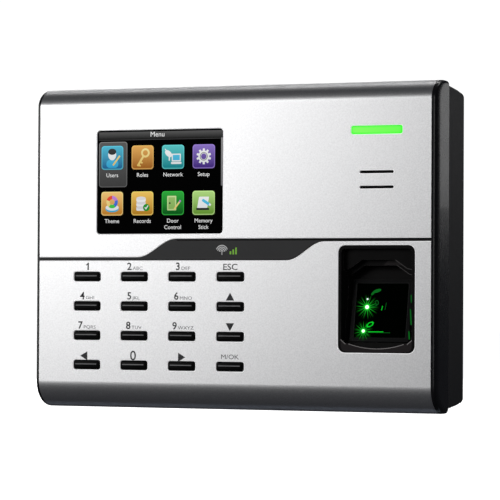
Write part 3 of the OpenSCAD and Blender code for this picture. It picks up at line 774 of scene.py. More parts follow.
class TERMINAL_OT_caps(bpy.types.Operator):
    """Glossy end caps, rounded outward"""
    bl_idname = "terminal.caps"
    bl_label = "End caps"

    def execute(self, context):
        sizes = context.scene.terminal_case
        black = gloss_black("cap_black", tuple(context.scene.terminal_finishes.black), 0.22, 0.4)
        for node, side in (("right_end_cap", 1), ("left_end_cap", -1)):
            low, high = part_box(node)
            inner, outer = (low.x, high.x) if side > 0 else (high.x, low.x)
            loops = []
            for i in range(CAP_STEPS + 1):
                turn = math.pi / 2 * i / CAP_STEPS
                x = inner + (outer - inner) * math.sin(turn) ** CAP_SQUARE
                drawn = 1 - math.cos(turn) ** CAP_SQUARE
                outline = casing_outline(sizes.cap_round * drawn, sizes.cap_edge * drawn)
                loops.append([(x, y, z) for y, z in outline])
            bm = bmesh.new()
            lofted(bm, loops)
            cap = piece(node + "_finished", bm, [black, black], replaces=(node,), smooth=28)
            bevelled(cap, 0.15 * MM, 2, 60)
        return {"FINISHED"}


class TERMINAL_OT_rear(bpy.types.Operator):
    """Rear housing, wall plate and the hardware at the back, with softened edges"""
    bl_idname = "terminal.rear"
    bl_label = "Rear housing and wall plate"

    def execute(self, context):
        sizes = context.scene.terminal_case
        housing = tuple(context.scene.terminal_finishes.housing)
        low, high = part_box("rear_housing")
        back = high.z - sizes.housing_draft
        depth, height = sizes.corner_depth, sizes.corner_height
        corners = [point for side, start in ((-1, 270), (1, 0))
                   for point in arc(high.y - depth, side * (back - height), depth, height, start, start + 90)]
        outline = [(low.y - MM, low.z - MM)] + corners + [(low.y - MM, high.z + MM)]
        bm = bmesh.new()
        prism(bm, outline, low.x - MM, high.x + MM, axis="X")
        plastic = moulded("housing_plastic", housing, 0.5, 0.52, 0.03)
        softened("rear_housing", sizes.housing_edge, 2, 40, plastic, within=loose(bm))
        softened("wall_plate", 0.15 * MM, 2, 40, steel("zinc_plate", (0.5, 0.51, 0.53)))
        softened("ethernet_jack", 0.12 * MM, 1, 50, steel("jack_metal", (0.62, 0.62, 0.64), "Y", 0.22))
        softened("usb_port", 0.08 * MM, 1, 50, steel("port_metal", (0.66, 0.66, 0.68), "Z", 0.22))
        return {"FINISHED"}


# ---------------------------------------------------------------- the display

LENS_CLEARANCE = 0.3 * MM
PRINT_AHEAD = 0.1 * MM  # how far the words stand ahead of the picture
ICON_AHEAD = 0.03 * MM

# Places in the menu, in millimetres from the opening's upper left corner
FIRST_COLUMN, FIRST_ROW, ROW_PITCH, COLUMNS = 6.95, 11.7, 19.65, 4
CAPTION_DROP, CAPTION_LINE = 8.3, 2.75

# Each icon's name, caption, and tile colours at its bottom and top
ICONS = (
    ("users", "Users", (0.02, 0.16, 0.36), (0.10, 0.55, 0.72)),
    ("roles", "Roles", (0.42, 0.15, 0.02), (0.85, 0.46, 0.12)),
    ("network", "Network", (0.01, 0.28, 0.32), (0.12, 0.62, 0.62)),
    ("setup", "Setup", (0.07, 0.03, 0.26), (0.30, 0.20, 0.62)),
    ("theme", "Theme", (0.62, 0.26, 0.03), (0.95, 0.62, 0.22)),
    ("records", "Records", (0.55, 0.26, 0.02), (0.95, 0.62, 0.14)),
    ("doors", "Door\nControl", (0.0, 0.12, 0.01), (0.03, 0.45, 0.05)),
    ("storage", "Memory\nStick", (0.16, 0.36, 0.04), (0.50, 0.78, 0.26)),
)


# The materials of an icon, in order
RIM, WHITE, DARK, YELLOW, SKY, RED, LEAF, NAVY, VIOLET, SILVER, TICK, MINT, GRASS, TILE = range(14)


def draw_users(d, x, z):
    d.bar(x, z - 2.6 * MM, 5.6 * MM, 3.4 * MM, SKY, r=1.5 * MM)
    d.disc(x - 0.1 * MM, z + 1.3 * MM, 1.9 * MM, WHITE, squash=1.25)
    d.disc(x - 0.1 * MM, z + 2.6 * MM, 1.9 * MM, DARK, squash=0.7)
    d.bar(x + 1.9 * MM, z - 1.2 * MM, 0.75 * MM, 5.2 * MM, YELLOW, r=0.2 * MM, turn=math.radians(-38))


def draw_roles(d, x, z):
    d.ring(x + 1.3 * MM, z + 1.9 * MM, 2.0 * MM, 1.15 * MM, YELLOW)
    d.bar(x - 0.9 * MM, z - 1.5 * MM, 0.9 * MM, 5.2 * MM, YELLOW, r=0.2 * MM, turn=math.radians(-33))
    for drop in (2.0, 3.3):
        d.bar(x - 0.75 * MM - (drop - 2) * 0.65 * MM, z - drop * MM, 1.7 * MM, 0.7 * MM, YELLOW,
              turn=math.radians(-33))


def draw_network(d, x, z):
    d.bar(x + 1.5 * MM, z - 0.3 * MM, 4.2 * MM, 3.3 * MM, WHITE, r=0.3 * MM)
    d.bar(x + 1.5 * MM, z - 0.3 * MM, 3.2 * MM, 2.3 * MM, SKY, r=0.1 * MM)
    d.bar(x + 1.5 * MM, z - 2.6 * MM, 4.8 * MM, 0.9 * MM, WHITE, r=0.3 * MM)
    d.disc(x - 2.1 * MM, z + 1.4 * MM, 1.9 * MM, WHITE, squash=0.6, turn=math.radians(-40))
    d.bar(x - 3.0 * MM, z + 2.6 * MM, 0.4 * MM, 2.2 * MM, WHITE, turn=math.radians(40))
    d.bar(x - 1.7 * MM, z - 0.6 * MM, 0.6 * MM, 2.0 * MM, WHITE)


def draw_setup(d, x, z):
    for i in range(10):
        a = math.radians(36 * i)
        d.bar(x + 2.75 * MM * math.sin(a), z + 2.75 * MM * math.cos(a), 0.95 * MM, 1.2 * MM, WHITE,
              r=0.15 * MM, turn=-a)
    d.ring(x, z, 2.5 * MM, 1.25 * MM, WHITE)
    d.ring(x, z, 1.75 * MM, 1.5 * MM, DARK)


def draw_theme(d, x, z):
    d.disc(x, z - 2.3 * MM, 3.1 * MM, SKY, squash=0.45)
    d.disc(x, z - 1.7 * MM, 3.1 * MM, WHITE, squash=0.42)
    for i, index in enumerate((RED, YELLOW, LEAF, NAVY, VIOLET)):
        d.arc_band(x, z + 0.7 * MM, 1.95 * MM, 1.5 * MM, 90 + 72 * i, 90 + 72 * (i + 1), index, segments=6)


def draw_records(d, x, z):
    for lift in (-2.4, -0.5, 1.4):
        d.bar(x - 0.6 * MM, z + lift * MM, 4.4 * MM, 1.5 * MM, WHITE, r=0.6 * MM)
        d.disc(x - 0.6 * MM, z + (lift + 0.75) * MM, 2.2 * MM, SILVER, squash=0.34)
    d.disc(x + 1.9 * MM, z - 1.8 * MM, 1.55 * MM, TICK)
    d.bar(x + 1.5 * MM, z - 2.1 * MM, 0.45 * MM, 1.1 * MM, WHITE, turn=math.radians(40))
    d.bar(x + 2.15 * MM, z - 1.7 * MM, 0.45 * MM, 1.9 * MM, WHITE, turn=math.radians(-35))


def draw_doors(d, x, z):
    d.bar(x - 0.5 * MM, z, 4.2 * MM, 6.2 * MM, MINT, r=0.3 * MM)
    d.bar(x - 0.5 * MM, z, 3.1 * MM, 5.0 * MM, GRASS, r=0.2 * MM)
    d.disc(x - 1.4 * MM, z, 0.4 * MM, DARK)
    d.bar(x + 2.0 * MM, z - 0.9 * MM, 0.7 * MM, 4.6 * MM, YELLOW, r=0.2 * MM, turn=math.radians(-38))
    d.bar(x + 3.3 * MM, z + 0.8 * MM, 0.7 * MM, 0.9 * MM, VIOLET, turn=math.radians(-38))


def draw_storage(d, x, z):
    d.bar(x - 0.2 * MM, z + 0.2 * MM, 4.6 * MM, 4.8 * MM, WHITE, r=0.3 * MM, lean=0.9 * MM)
    d.bar(x - 0.4 * MM, z - 2.6 * MM, 5.8 * MM, 0.9 * MM, DARK, r=0.1 * MM)
    d.bar(x + 1.2 * MM, z + 0.2 * MM, 1.2 * MM, 4.2 * MM, SKY, r=0.3 * MM, turn=math.radians(58))
    d.bar(x + 2.9 * MM, z - 0.8 * MM, 0.9 * MM, 0.9 * MM, WHITE, turn=math.radians(58))


DRAWN = {"users": draw_users, "roles": draw_roles, "network": draw_network, "setup": draw_setup,
         "theme": draw_theme, "records": draw_records, "doors": draw_doors, "storage": draw_storage}


def icon_inks(bottom, top):
    """The lit colours that the pictograms share."""
    table = (("white", (0.75, 0.78, 0.8), (1.0, 1.0, 1.0)), ("dark", (0.01, 0.01, 0.01), (0.05, 0.05, 0.05)),
             ("yellow", (0.75, 0.5, 0.1), (1.0, 0.88, 0.4)), ("sky", (0.02, 0.35, 0.65), (0.15, 0.7, 0.9)),
             ("red", (0.7, 0.02, 0.02), (0.9, 0.1, 0.05)), ("leaf", (0.03, 0.5, 0.05), (0.1, 0.7, 0.1)),
             ("navy", (0.03, 0.08, 0.6), (0.1, 0.25, 0.8)), ("violet", (0.45, 0.1, 0.6), (0.6, 0.3, 0.8)),
             ("silver", (0.6, 0.6, 0.62), (0.85, 0.85, 0.87)), ("tick", (0.01, 0.25, 0.02), (0.03, 0.4, 0.05)),
             ("mint", (0.45, 0.65, 0.25), (0.7, 0.85, 0.4)), ("grass", (0.2, 0.42, 0.08), (0.4, 0.62, 0.2)))
    return [lit("ink_" + name, low, high, 0.9, bottom, top) for name, low, high in table]


class TERMINAL_OT_screen(bpy.types.Operator):
    """Display lens with the lit menu behind it"""
    bl_idname = "terminal.screen"
    bl_label = "Display"

    def execute(self, context):
        sizes = context.scene.terminal_screen
        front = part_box("upper_front_panel")[0].y
        c, w, h = window_outline()
        low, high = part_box("display_window")
        plane = front + sizes.picture_depth
        left, top = c.x - w / 2, c.z + h / 2

        bm = bmesh.new()
        outline = rounded(c.x, c.z, w - LENS_CLEARANCE, h - LENS_CLEARANCE, sizes.corner)
        prism(bm, outline, low.y, plane - 0.15 * MM)
        lens = piece("display_lens", bm, [clear_glass("lens_clear", (0.002, 0.002, 0.002), 0.03, 0.2, 0.02)],
                     replaces=("display_window",), smooth=30)
        bevelled(lens, 0.12 * MM, 2, 40)

        bm = bmesh.new()
        prism(bm, outline, plane, high.y - 0.9 * MM)
        prism(bm, rounded(c.x, c.z, high.x - low.x, high.z - low.z, 2 * MM), high.y - 0.85 * MM, high.y)
        mask = moulded("lens_mask", (0.001, 0.001, 0.001), 0.4, 0.8, 0.002, 0.0)
        piece("display_mask", bm, [mask], node="display_window", smooth=30)

        bars = Decal(plane)
        bars.bar(c.x, top - 0.5 * sizes.header - 0.35 * MM, w - 1.1 * MM, sizes.header - 0.7 * MM, 0)
        bars.bar(c.x, top - sizes.header - 0.12 * MM, w - 1.1 * MM, 0.25 * MM, 1)
        bars.bar(left + w - 0.75 * MM, top - 14 * MM, 0.7 * MM, 20.3 * MM, 2, r=0.2 * MM)
        bars.bar(left + 7.3 * MM, top - 14.6 * MM, 13.2 * MM, 19.4 * MM, 3, r=1.2 * MM)
        bars.bar(left + 7.3 * MM, top - 14.6 * MM, 12.6 * MM, 18.8 * MM, 4, r=1.0 * MM)
        bars.finish("menu_bars", [
            lit("header_shade", (0.006, 0.006, 0.006), (0.16, 0.16, 0.16), 0.6,
                top - sizes.header, top - 0.6 * MM),
            lit("header_line", (0.03, 0.03, 0.03), (0.05, 0.05, 0.05), 1, low.z, high.z),
            lit("scroll_grey", (0.16, 0.16, 0.17), (0.3, 0.3, 0.3), 1, top - 24 * MM, top - 4 * MM),
            lit("pick_rim", (0.12, 0.12, 0.12), (0.24, 0.24, 0.24), 1, top - 24 * MM, top - 5 * MM),
            lit("pick_fill", (0.045, 0.045, 0.045), (0.1, 0.1, 0.1), 1, top - 24 * MM, top - 5 * MM),
        ], "display_window")

        words = bmesh.new()
        ink = lit("caption_white", (0.85, 0.85, 0.85), (0.95, 0.95, 0.95), 1.0, low.z, high.z)
        lettering(words, "Menu", 3.0 * MM, c.x - 1.2 * MM, top - 2.9 * MM, plane - PRINT_AHEAD, weight=0)
        for i, (name, caption, dark, light) in enumerate(ICONS):
            x = left + FIRST_COLUMN * MM + (i % COLUMNS) * sizes.icon_pitch
            z = top - (FIRST_ROW + (i // COLUMNS) * ROW_PITCH) * MM
            span = sizes.icon / 2
            icon = Decal(plane - ICON_AHEAD)
            icon.bar(x, z, sizes.icon, sizes.icon, RIM, r=1.3 * MM)
            icon.bar(x, z + 0.05 * MM, sizes.icon - 0.7 * MM, sizes.icon - 0.8 * MM, TILE, r=1.1 * MM)
            DRAWN[name](icon, x, z)
            paints = [lit(name + "_rim", shade(light, 0.8), shade(light, 1.3), 0.9, z - span, z + span)]
            paints += icon_inks(z - span, z + span)
            paints.append(lit(name + "_tile", shade(dark, 0.8), light, 1.0, z - span * 0.8, z + span * 1.3))
            icon.finish("icon_" + name, paints, "display_window")
            for j, line in enumerate(caption.split("\n")):
                lettering(words, line, sizes.caption, x, z - (CAPTION_DROP + j * CAPTION_LINE) * MM,
                          plane - PRINT_AHEAD, weight=0)
        piece("menu_words", words, [ink], node="display_window")
        return {"FINISHED"}


class TERMINAL_OT_status(bpy.types.Operator):
    """Lit status bar"""
    bl_idname = "terminal.status"
    bl_label = "Status light"

    def execute(self, context):
        low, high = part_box("light_pipe")
        c = centre("light_pipe")
        w, h, corner = 22 * MM, 3.2 * MM, 0.65 * MM
        bm = bmesh.new()
        prism(bm, rounded(c.x, c.z, w, h, corner), low.y, high.y - 1.4 * MM)
        prism(bm, rounded(c.x, c.z, high.x - low.x, high.z - low.z, 1.5 * MM), high.y - 1.35 * MM, high.y)
        face = (Vector((c.x - w / 2, 0, c.z - h / 2)), Vector((c.x + w / 2, 0, c.z + h / 2)))
        lens = status_lens(tuple(context.scene.terminal_finishes.status), face)
        bar = piece("status_bar", bm, [lens], replaces=("light_pipe",), smooth=30)
        bevelled(bar, 0.25 * MM, 3, 40)
        return {"FINISHED"}


# ---------------------------------------------------------------- the keys

class TERMINAL_OT_keys(bpy.types.Operator):
    """Sixteen key bars, each with a thin grey bar painted across its face as a highlight"""
    bl_idname = "terminal.keys"
    bl_label = "Keys"

    def execute(self, context):
        sizes = context.scene.terminal_keys
        black = gloss_black("key_black", (0.0012, 0.0012, 0.0013), 0.35, 0.04)
        ridge_highlight = moulded("key_ridge_highlight", (0.22, 0.22, 0.225), 0.3, 0.5, 0.01, 0.3)
        w, h = sizes.opening_w - 2 * sizes.gap, sizes.opening_h - 2 * sizes.gap
        for name in KEY_NAMES:
            node = "key_" + name
            low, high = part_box(node)
            c = centre(node)
            bm = bmesh.new()
            face, flange, plunger = low.y + 0.02 * MM, high.y - 1.6 * MM, high.y - 0.5 * MM
            prism(bm, rounded(c.x, c.z, w, h, 0.75 * MM), face, flange)
            front = [edge for edge in bm.edges if all(abs(v.co.y - face) < 1e-6 for v in edge.verts)]
            bmesh.ops.bevel(bm, geom=front, offset=sizes.crown, offset_type="OFFSET", affect="EDGES",
                            segments=4, profile=0.5, material=-1)
            prism(bm, rounded(c.x, c.z, high.x - low.x, high.z - low.z, 0.4 * MM, 2), flange, plunger)
            prism(bm, arc(c.x, c.z, 1.6 * MM, 1.6 * MM, 0, 345, 23), plunger, high.y)
            piece("keycap_" + name, bm, [black], replaces=(node,), smooth=35)
            # A thin grey bar laid on the key's face is a painted highlight.
            line = Decal(face)
            line.bar(c.x - 0.15 * MM, c.z + 0.3 * MM, w - 2.1 * MM, 0.42 * MM, 0, r=0.18 * MM)
            line.finish("keyline_" + name, [ridge_highlight], node)
        return {"FINISHED"}


LEGEND_AHEAD = 0.012 * MM
LEGEND_LIFT = 0.8 * MM

# The small letters beside a digit, and how far both stand off the key's middle in millimetres
LEGENDS = {"2": "ABC", "3": "DEF", "4": "GHI", "5": "JKL", "6": "MNO", "7": "PQRS", "8": "TUV", "9": "WXYZ"}
SHIFTS = {"3": 0.4, "6": -0.3, "7": -0.9, "8": -0.4, "9": -1.0}
# An arrow's turn in degrees, then its shift across and its lift in millimetres
ARROWS = {"up": (0, 0, 1.6), "down": (180, 0, 2.5), "left": (90, -0.8, 1.7), "right": (-90, -0.4, 1.6)}
# A word with its letter size, width factor, lift in millimetres and weight
WORDS = {"esc": ("ESC", 3.7, 1.12, 0.8, 0.01), "ok": ("M/OK", 2.8, 1.16, 1.1, 0)}


class TERMINAL_OT_legends(bpy.types.Operator):
    """Printed digits, letters and arrows above the keys"""
    bl_idname = "terminal.legends"
    bl_label = "Key legends"

    def execute(self, context):
        sizes = context.scene.terminal_keys
        rgb = tuple(context.scene.terminal_finishes.legend)
        inks = [printed("legend_ink", rgb), printed("legend_pale", shade(rgb, 4.5))]
        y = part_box("lower_front_panel")[0].y - LEGEND_AHEAD
        for name in KEY_NAMES:
            c = centre("key_" + name)
            top = c.z + sizes.opening_h / 2
            if name in ARROWS:
                turn, shift, lift = ARROWS[name]
                mark = Decal(y)
                mark.disc(c.x + shift * MM, top + lift * MM, 2.2 * MM, 0, segments=3, turn=math.radians(turn))
                mark.finish("legend_" + name, inks, "lower_front_panel")
                continue
            bm = bmesh.new()
            letters = LEGENDS.get(name)
            if name in WORDS:
                word, size, wide, lift, bold = WORDS[name]
                lettering(bm, word, size * MM, c.x, top + lift * MM, y, squeeze=wide, weight=bold)
            elif letters:
                x = c.x + SHIFTS.get(name, 0) * MM
                lettering(bm, name, sizes.digit, x - 2.2 * MM, top + LEGEND_LIFT, y)
                lettering(bm, letters, sizes.letter, x - 0.7 * MM, top + LEGEND_LIFT, y, align="LEFT",
                          index=1, squeeze=1.22, weight=0)
            elif name == "0":
                lettering(bm, name, sizes.digit * 1.32, c.x - 0.3 * MM, top + 0.1 * MM, y, squeeze=1.02,
                          weight=0.006)
            else:
                lettering(bm, name, sizes.digit, c.x + 0.45 * MM, top + LEGEND_LIFT, y)
            piece("legend_" + name, bm, inks, node="lower_front_panel")
            if name == "1":
                flag = Decal(y)
                flag.bar(c.x - 0.12 * MM, top + 3.1 * MM, 1.1 * MM, 0.4 * MM, 0, turn=math.radians(38))
                flag.finish("legend_1_flag", inks, "lower_front_panel")
        return {"FINISHED"}


# ---------------------------------------------------------------- the finger well

GLASS_LEAN = math.radians(12.1)

# A lamp's name, place across and up, radius of its glow in millimetres, and turn of its rays
LAMPS = (("upper", 58.95, -25.0, 5.6, 0.4), ("lower", 58.05, -34.9, 4.6, 1.3))

# A reflection's height on the glass, shape, place across, rise from that height, measures, ink and
# other settings, with lengths in millimetres
GLINTS = (
    (-18.3, "disc", 62.9, 0, (1.9,), 3, {"squash": 0.36, "turn": math.radians(18)}),
    (-18.3, "disc", 61.2, -0.9, (1.2,), 3, {"squash": 0.4, "turn": math.radians(45)}),
    (-21.7, "disc", 59.0, 0, (0.42,), 0, {}),
    (-24.6, "bar", 62.0, 0, (2.6, 0.3), 2, {"turn": math.radians(9)}),
    (-23.2, "ring", 63.2, 0, (0.8, 0.55), 2, {"squash": 1.3}),
    (-25.4, "bar", 65.6, 0, (0.35, 1.9), 1, {"turn": math.radians(-14)}),
    (-25.4, "bar", 67.2, 0.8, (0.2, 3.0), 2, {"turn": math.radians(-12)}),
    (-32.2, "ring", 60.9, 0, (1.95, 1.15), 1, {"segments": 7, "squash": 0.5, "turn": math.radians(30)}),
    (-35.2, "bar", 63.6, 0, (6.6, 0.32), 1, {}),
    (-35.2, "bar", 65.2, -0.35, (9.4, 0.16), 2, {}),
)
WALL_GLINTS = ((79.3, -21.5, 3.2), (79.1, -29.0, 6.5), (78.4, -36.5, 3.4))

# Painted light in the well: lit patches on the lip and hood faces and painted highlights along their edges, in
# millimetres across from its middle and up
LIP_CURVE = arc(0, -4.9, 37.3, 37.3, 290.4, 249.6, 24)
LIP_NOTCH = [(13.4, -40.3), (15.4, -38.6)]
LIP_NOTCH_LEFT = [(-x, z) for x, z in LIP_NOTCH]
LIP = (arc(-12.9, -41.1, 2.5, 2.5, 180, 270) + arc(12.9, -41.1, 2.5, 2.5, 270, 360)
       + LIP_NOTCH[::-1] + LIP_CURVE + LIP_NOTCH_LEFT)
HOOD_FACE = ((1.0, -7.7), (3.2, -5.6), (7.3, -5.6), (10.2, -7.7))
HOOD_INNER = ((7.0, -7.7), (12.4, -11.4), (15.0, -12.0))
HOOD_OUTER = ((7.2, -5.5), (12.4, -9.1), (15.2, -9.7))
HIGHLIGHT_WIDTH = 0.3 * MM


class TERMINAL_OT_well(bpy.types.Operator):
    """Hooded finger well, its frame, the sensor's glass and the light inside it"""
    bl_idname = "terminal.well"
    bl_label = "Finger well"

    def glass(self, z, ahead):
        """Place in y, in metres, some millimetres ahead of the leaning glass at a height in millimetres."""
        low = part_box("sensor_frame")[0]
        return low.y + (z * MM - low.z) * math.tan(GLASS_LEAN) - ahead * MM

    def moulding(self):
        plastic = gloss_black("well_plastic", (0.003, 0.0028, 0.0028), 0.4, 0.05)
        # The bezel's bevelled edges take a lighter copy of its plastic as a painted highlight.
        edge_highlight = gloss_black("well_edge_highlight", (0.07, 0.065, 0.065), 0.35, 0.5)
        softened("sensor_bezel", 0.22 * MM, 2, 28, plastic, edge=edge_highlight)
        rim = gloss_black("rim_plastic", (0.003, 0.003, 0.0032), 0.4, 0.05)
        # The frame's bevelled edges take a lighter copy of its plastic as a painted highlight.
        rim_edge_highlight = gloss_black("rim_edge_highlight", (0.012, 0.012, 0.012), 0.4, 0.1)
        softened("sensor_frame", 0.35 * MM, 2, 40, rim, edge=rim_edge_highlight)
        glass = clear_glass("sensor_glass", (0.0002, 0.0008, 0.0003), 0.96, 0.3, gloss=0.0)
        softened("sensor_platen", 0.2 * MM, 2, 40, glass)

    def lamps(self):
        for name, x, z, radius, phase in LAMPS:
            spot = Vector((x * MM, self.glass(z, 0.25), z * MM))
            glow = Decal(spot.y)
            glow.disc(spot.x, spot.z, radius * MM, 0, segments=48)
            lean = Matrix.Rotation(-GLASS_LEAN, 3, "X")
            bmesh.ops.rotate(glow.bm, verts=glow.bm.verts, cent=spot, matrix=lean)
            light = lamp_star("lamp_light_" + name, spot, radius * MM, phase)
            glow.finish("lamp_glow_" + name, [light], "sensor_platen")

    def painted_light(self):
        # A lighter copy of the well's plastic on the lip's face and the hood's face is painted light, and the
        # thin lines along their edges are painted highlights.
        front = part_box("sensor_bezel")[0].y
        mid = centre("sensor_bezel").x

        def placed(points):
            return [(mid + x * MM, z * MM) for x, z in points]

        painted_light = Decal(front - 0.01 * MM)
        painted_light.shape(placed(LIP), 0)
        for points in (LIP_CURVE[1:-1], LIP_NOTCH, LIP_NOTCH_LEFT):
            painted_light.line(placed(points), HIGHLIGHT_WIDTH, 1)
        painted_light.y = front + 6.1 * MM
        painted_light.shape(placed(HOOD_FACE), 0)
        painted_light.line(placed(HOOD_INNER), HIGHLIGHT_WIDTH, 2)
        painted_light.y = front + 3.1 * MM
        painted_light.line(placed(HOOD_OUTER), HIGHLIGHT_WIDTH, 2)
        painted_light.finish("well_painted_light", [
            moulded("lip_lit_plastic", (0.022, 0.018, 0.019), 0.4, 0.5, 0.004, 0.1),
            moulded("lip_edge_highlight", (0.3, 0.28, 0.28), 0.4, 0.4, 0.004, 0.4),
            moulded("hood_edge_highlight", (0.05, 0.045, 0.045), 0.4, 0.4, 0.004, 0.3),
        ], "sensor_bezel")

    def glints(self):
        low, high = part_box("sensor_frame")
        glints = Decal(low.y)
        for z, shape, x, rise, measures, ink, others in GLINTS:
            glints.y = self.glass(z, 0.5)
            draw = getattr(glints, shape)
            draw(x * MM, z * MM + rise * MM, *(measure * MM for measure in measures), ink, **others)
        glints.y = low.y - 0.4 * MM
        for x, z, tall in WALL_GLINTS:
            glints.bar(x * MM, z * MM, 0.5 * MM, tall * MM, 2, r=0.2 * MM, turn=math.radians(3))
        span = (low.z, high.z)
        glints.finish("lamp_glints", [
            lit("glint_white", (0.8, 1, 0.95), (0.9, 1, 1), 1.0, *span),
            lit("glint_green", (0.0, 0.75, 0.02), (0.0, 0.4, 0.02), 0.9, *span),
            lit("glint_dim", (0.0, 0.16, 0.01), (0.0, 0.09, 0.01), 0.9, *span),
            lit("glint_soft", (0.0, 0.2, 0.01), (0.0, 0.12, 0.01), 0.9, *span),
        ], "sensor_platen")

    def execute(self, context):
        self.moulding()
        self.lamps()
        self.painted_light()
        self.glints()
        return {"FINISHED"}


# ---------------------------------------------------------------- finishes for the carried-over nodes

class TERMINAL_OT_finishes(bpy.types.Operator):
    """Finishes for every CAD node that stays as it is"""
    bl_idname = "terminal.finishes"
    bl_label = "Finishes"

    def execute(self, context):
        made = {
            "matte_black": moulded("frame_plastic", (0.016, 0.016, 0.017), 0.4, 0.55),
            "gasket_rubber": moulded("gasket_rubber", (0.03, 0.03, 0.03), 0.8, 0.8),
            "lcd_glass": clear_glass("lcd_glass", (0.02, 0.03, 0.04), 0.9),
            "steel": steel("tray_steel", (0.62, 0.63, 0.65)),
            "zinc_steel": steel("screw_zinc", (0.6, 0.6, 0.62), "Z", 0.3),
            "led_white": moulded("lamp_white", (0.8, 0.8, 0.66), 0.4, 0.4),
            "led_green": lit("lamp_green", (0.1, 0.9, 0.2), (0.6, 1.0, 0.6), 3.0, -0.04, -0.02),
            "circuit_board": circuit("board_green"),
            "speaker_frame": moulded("speaker_plastic", (0.05, 0.05, 0.05), 0.6, 0.6),
            "mesh_cloth": woven("speaker_cloth", (0.02, 0.02, 0.02)),
            "silicone": moulded("silicone", (0.6, 0.6, 0.56), 1.5, 0.6),
            "contact_gold": steel("contact_gold", (0.85, 0.6, 0.2), "Z", 0.25),
            "ribbon_white": striped("ribbon", (0.55, 0.5, 0.35), (0.85, 0.84, 0.8), 1.0),
            "chip_black": moulded("chip_black", (0.02, 0.02, 0.021), 0.3, 0.6),
            "jack_shell": steel("shell_metal", (0.66, 0.66, 0.68), "Y", 0.25),
            "terminal_green": moulded("terminal_green", (0.02, 0.3, 0.07), 0.6, 0.45),
            "relay_blue": moulded("relay_blue", (0.02, 0.09, 0.4), 1.2, 0.35),
            "capacitor_sleeve": moulded("capacitor_sleeve", (0.02, 0.03, 0.06), 2.0, 0.3),
            "switch_red": moulded("switch_red", (0.45, 0.03, 0.03), 0.6, 0.45),
            "plunger_white": moulded("plunger_white", (0.75, 0.75, 0.73), 0.8, 0.4),
        }
        for node, held in frame["nodes"].items():
            finish = made.get(SLOT_OF[node])
            if finish is not None:
                held.data.materials.clear()
                held.data.materials.append(finish)
        return {"FINISHED"}


# ---------------------------------------------------------------- the stage

AIM = (0.927 * MM, -20.5 * MM, -0.952 * MM)  # the point that the camera looks at
SENSOR_WIDTH = 36
FLOOR_DROP = 38 * MM
ROOM_COLOUR = (0.02, 0.021, 0.025, 1)
BACKDROP_STRENGTH = 1.05


def area_light(name, place, target, width, height, power, tone=(1, 1, 1)):
    """A soft light at a place, turned to a target."""
    light = bpy.data.lights.new(name, "AREA")
    light.shape = "RECTANGLE"
    light.size = width
    light.size_y = height
    light.energy = power
    light.color = tone
    held = bpy.data.objects.new(name, light)
    held.location = place
    held.rotation_euler = (Vector(target) - Vector(place)).to_track_quat("-Z", "Y").to_euler()
    bpy.context.scene.collection.objects.link(held)
    return held


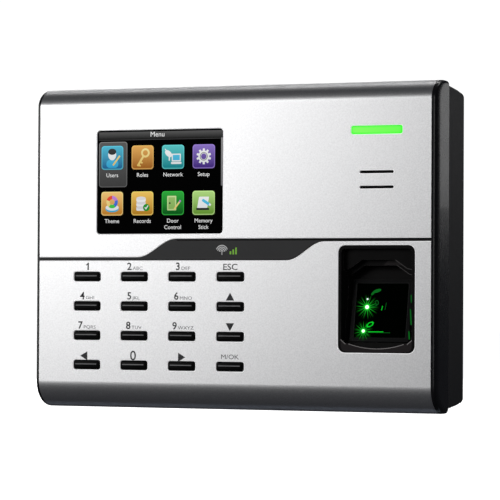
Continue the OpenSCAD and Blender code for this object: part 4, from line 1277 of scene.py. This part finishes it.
class TERMINAL_OT_stage(bpy.types.Operator):
    """Pale floor and backdrop, soft lights and the camera"""
    bl_idname = "terminal.stage"
    bl_label = "Stage"

    def execute(self, context):
        stage = context.scene.terminal_stage
        a, e = stage.azimuth, stage.elevation
        back = Vector((math.sin(a) * math.cos(e), -math.cos(a) * math.cos(e), math.sin(e)))
        right = (-back).cross(Vector((0, 0, 1))).normalized()
        up = right.cross(-back)
        r, u = (right * math.cos(stage.roll) + up * math.sin(stage.roll),
                up * math.cos(stage.roll) - right * math.sin(stage.roll))
        lens = bpy.data.cameras.new("camera")
        lens.lens = stage.lens
        lens.sensor_width = SENSOR_WIDTH
        lens.clip_start = 0.05
        camera = bpy.data.objects.new("camera", lens)
        turn = Matrix((r, u, back)).transposed().to_4x4()
        camera.matrix_world = Matrix.Translation(Vector(AIM) + back * stage.distance) @ turn
        context.scene.collection.objects.link(camera)
        context.scene.camera = camera

        bm = bmesh.new()
        bmesh.ops.create_grid(bm, x_segments=1, y_segments=1, size=6)
        bmesh.ops.translate(bm, verts=bm.verts, vec=(0, 0, Vector(CAD_BOX[0]).z - FLOOR_DROP))
        floor = loose(bm, "floor")
        paint = Paint("floor_pale", Roughness=0.9, Specular_IOR_Level=0.0, Emission_Color=(1, 1, 1),
                      Emission_Strength=1.0)
        paint.set(Base_Color=paint.tint(paint.noise(0.5, 2), (0.93, 0.93, 0.93), (0.95, 0.95, 0.95)))
        floor.data.materials.append(paint.material)
        floor.visible_glossy = False
        floor.visible_diffuse = False

        world = bpy.data.worlds.new("studio")
        world.use_nodes = True
        nodes, links = world.node_tree.nodes, world.node_tree.links
        nodes.clear()
        out = nodes.new("ShaderNodeOutputWorld")
        room = nodes.new("ShaderNodeBackground")
        room.inputs["Color"].default_value = ROOM_COLOUR
        seen = nodes.new("ShaderNodeBackground")
        seen.inputs["Color"].default_value = (1, 1, 1, 1)
        seen.inputs["Strength"].default_value = BACKDROP_STRENGTH
        path = nodes.new("ShaderNodeLightPath")
        mix = nodes.new("ShaderNodeMixShader")
        links.new(path.outputs["Is Camera Ray"], mix.inputs[0])
        links.new(room.outputs[0], mix.inputs[1])
        links.new(seen.outputs[0], mix.inputs[2])
        links.new(mix.outputs[0], out.inputs["Surface"])
        context.scene.world = world

        target = (0, -0.03, 0)
        area_light("front_softbox", (-0.80, -1.20, 0.30), target, 0.75, 0.6, 7.5)
        area_light("back_light", (0.0, 0.6, 0.75), (0, 0, 0.03), 1.2, 0.1, 1.4)
        area_light("side_light", (0.48, 1.2, 0.21), (0.09, 0, 0.03), 0.25, 0.3, 0.22)
        area_light("low_light", (0.0, 0.6, -0.75), (0, 0, -0.03), 1.2, 0.12, 0.2, (0.7, 0.8, 1.0))
        area_light("right_softbox", (1.35, -0.85, 0.25), target, 0.8, 0.7, 3.0)
        area_light("rear_softbox", (-0.9, 1.3, 0.25), (0, 0, 0), 1.0, 0.8, 9.0)
        area_light("fill_light", (0.2, -1.6, 0.9), target, 1.2, 0.6, 2.2).visible_glossy = False
        context.scene.view_settings.view_transform = "Standard"
        return {"FINISHED"}


class TERMINAL_PT_panel(bpy.types.Panel):
    """Buttons and sizes for the terminal"""
    bl_idname = "TERMINAL_PT_panel"
    bl_label = "Fingerprint terminal"
    bl_space_type = "VIEW_3D"
    bl_region_type = "UI"
    bl_category = "Terminal"

    def draw(self, context):
        for operator in OPERATORS:
            self.layout.operator(operator.bl_idname)
        for name in GROUPS:
            column = self.layout.column(align=True)
            group = getattr(context.scene, name)
            for key in group.bl_rna.properties.keys():
                if key not in {"rna_type", "name"}:
                    column.prop(group, key)


GROUPS = {"terminal_case": TerminalCaseSizes, "terminal_screen": TerminalScreenSizes,
          "terminal_keys": TerminalKeySizes, "terminal_finishes": TerminalFinishes,
          "terminal_stage": TerminalStage}
OPERATORS = (TERMINAL_OT_stage, TERMINAL_OT_panels, TERMINAL_OT_strip, TERMINAL_OT_caps, TERMINAL_OT_rear,
             TERMINAL_OT_screen, TERMINAL_OT_status, TERMINAL_OT_keys, TERMINAL_OT_legends, TERMINAL_OT_well,
             TERMINAL_OT_finishes)


def register():
    for group in GROUPS.values():
        bpy.utils.register_class(group)
    for name, group in GROUPS.items():
        setattr(bpy.types.Scene, name, PointerProperty(type=group))
    for operator in OPERATORS:
        bpy.utils.register_class(operator)
    bpy.utils.register_class(TERMINAL_PT_panel)


def unregister():
    bpy.utils.unregister_class(TERMINAL_PT_panel)
    for operator in reversed(OPERATORS):
        bpy.utils.unregister_class(operator)
    for name, group in GROUPS.items():
        delattr(bpy.types.Scene, name)
        bpy.utils.unregister_class(group)


def main():
    register()
    for operator in OPERATORS:
        group, name = operator.bl_idname.split(".")
        getattr(getattr(bpy.ops, group), name)()


if __name__ == "__main__":
    main()
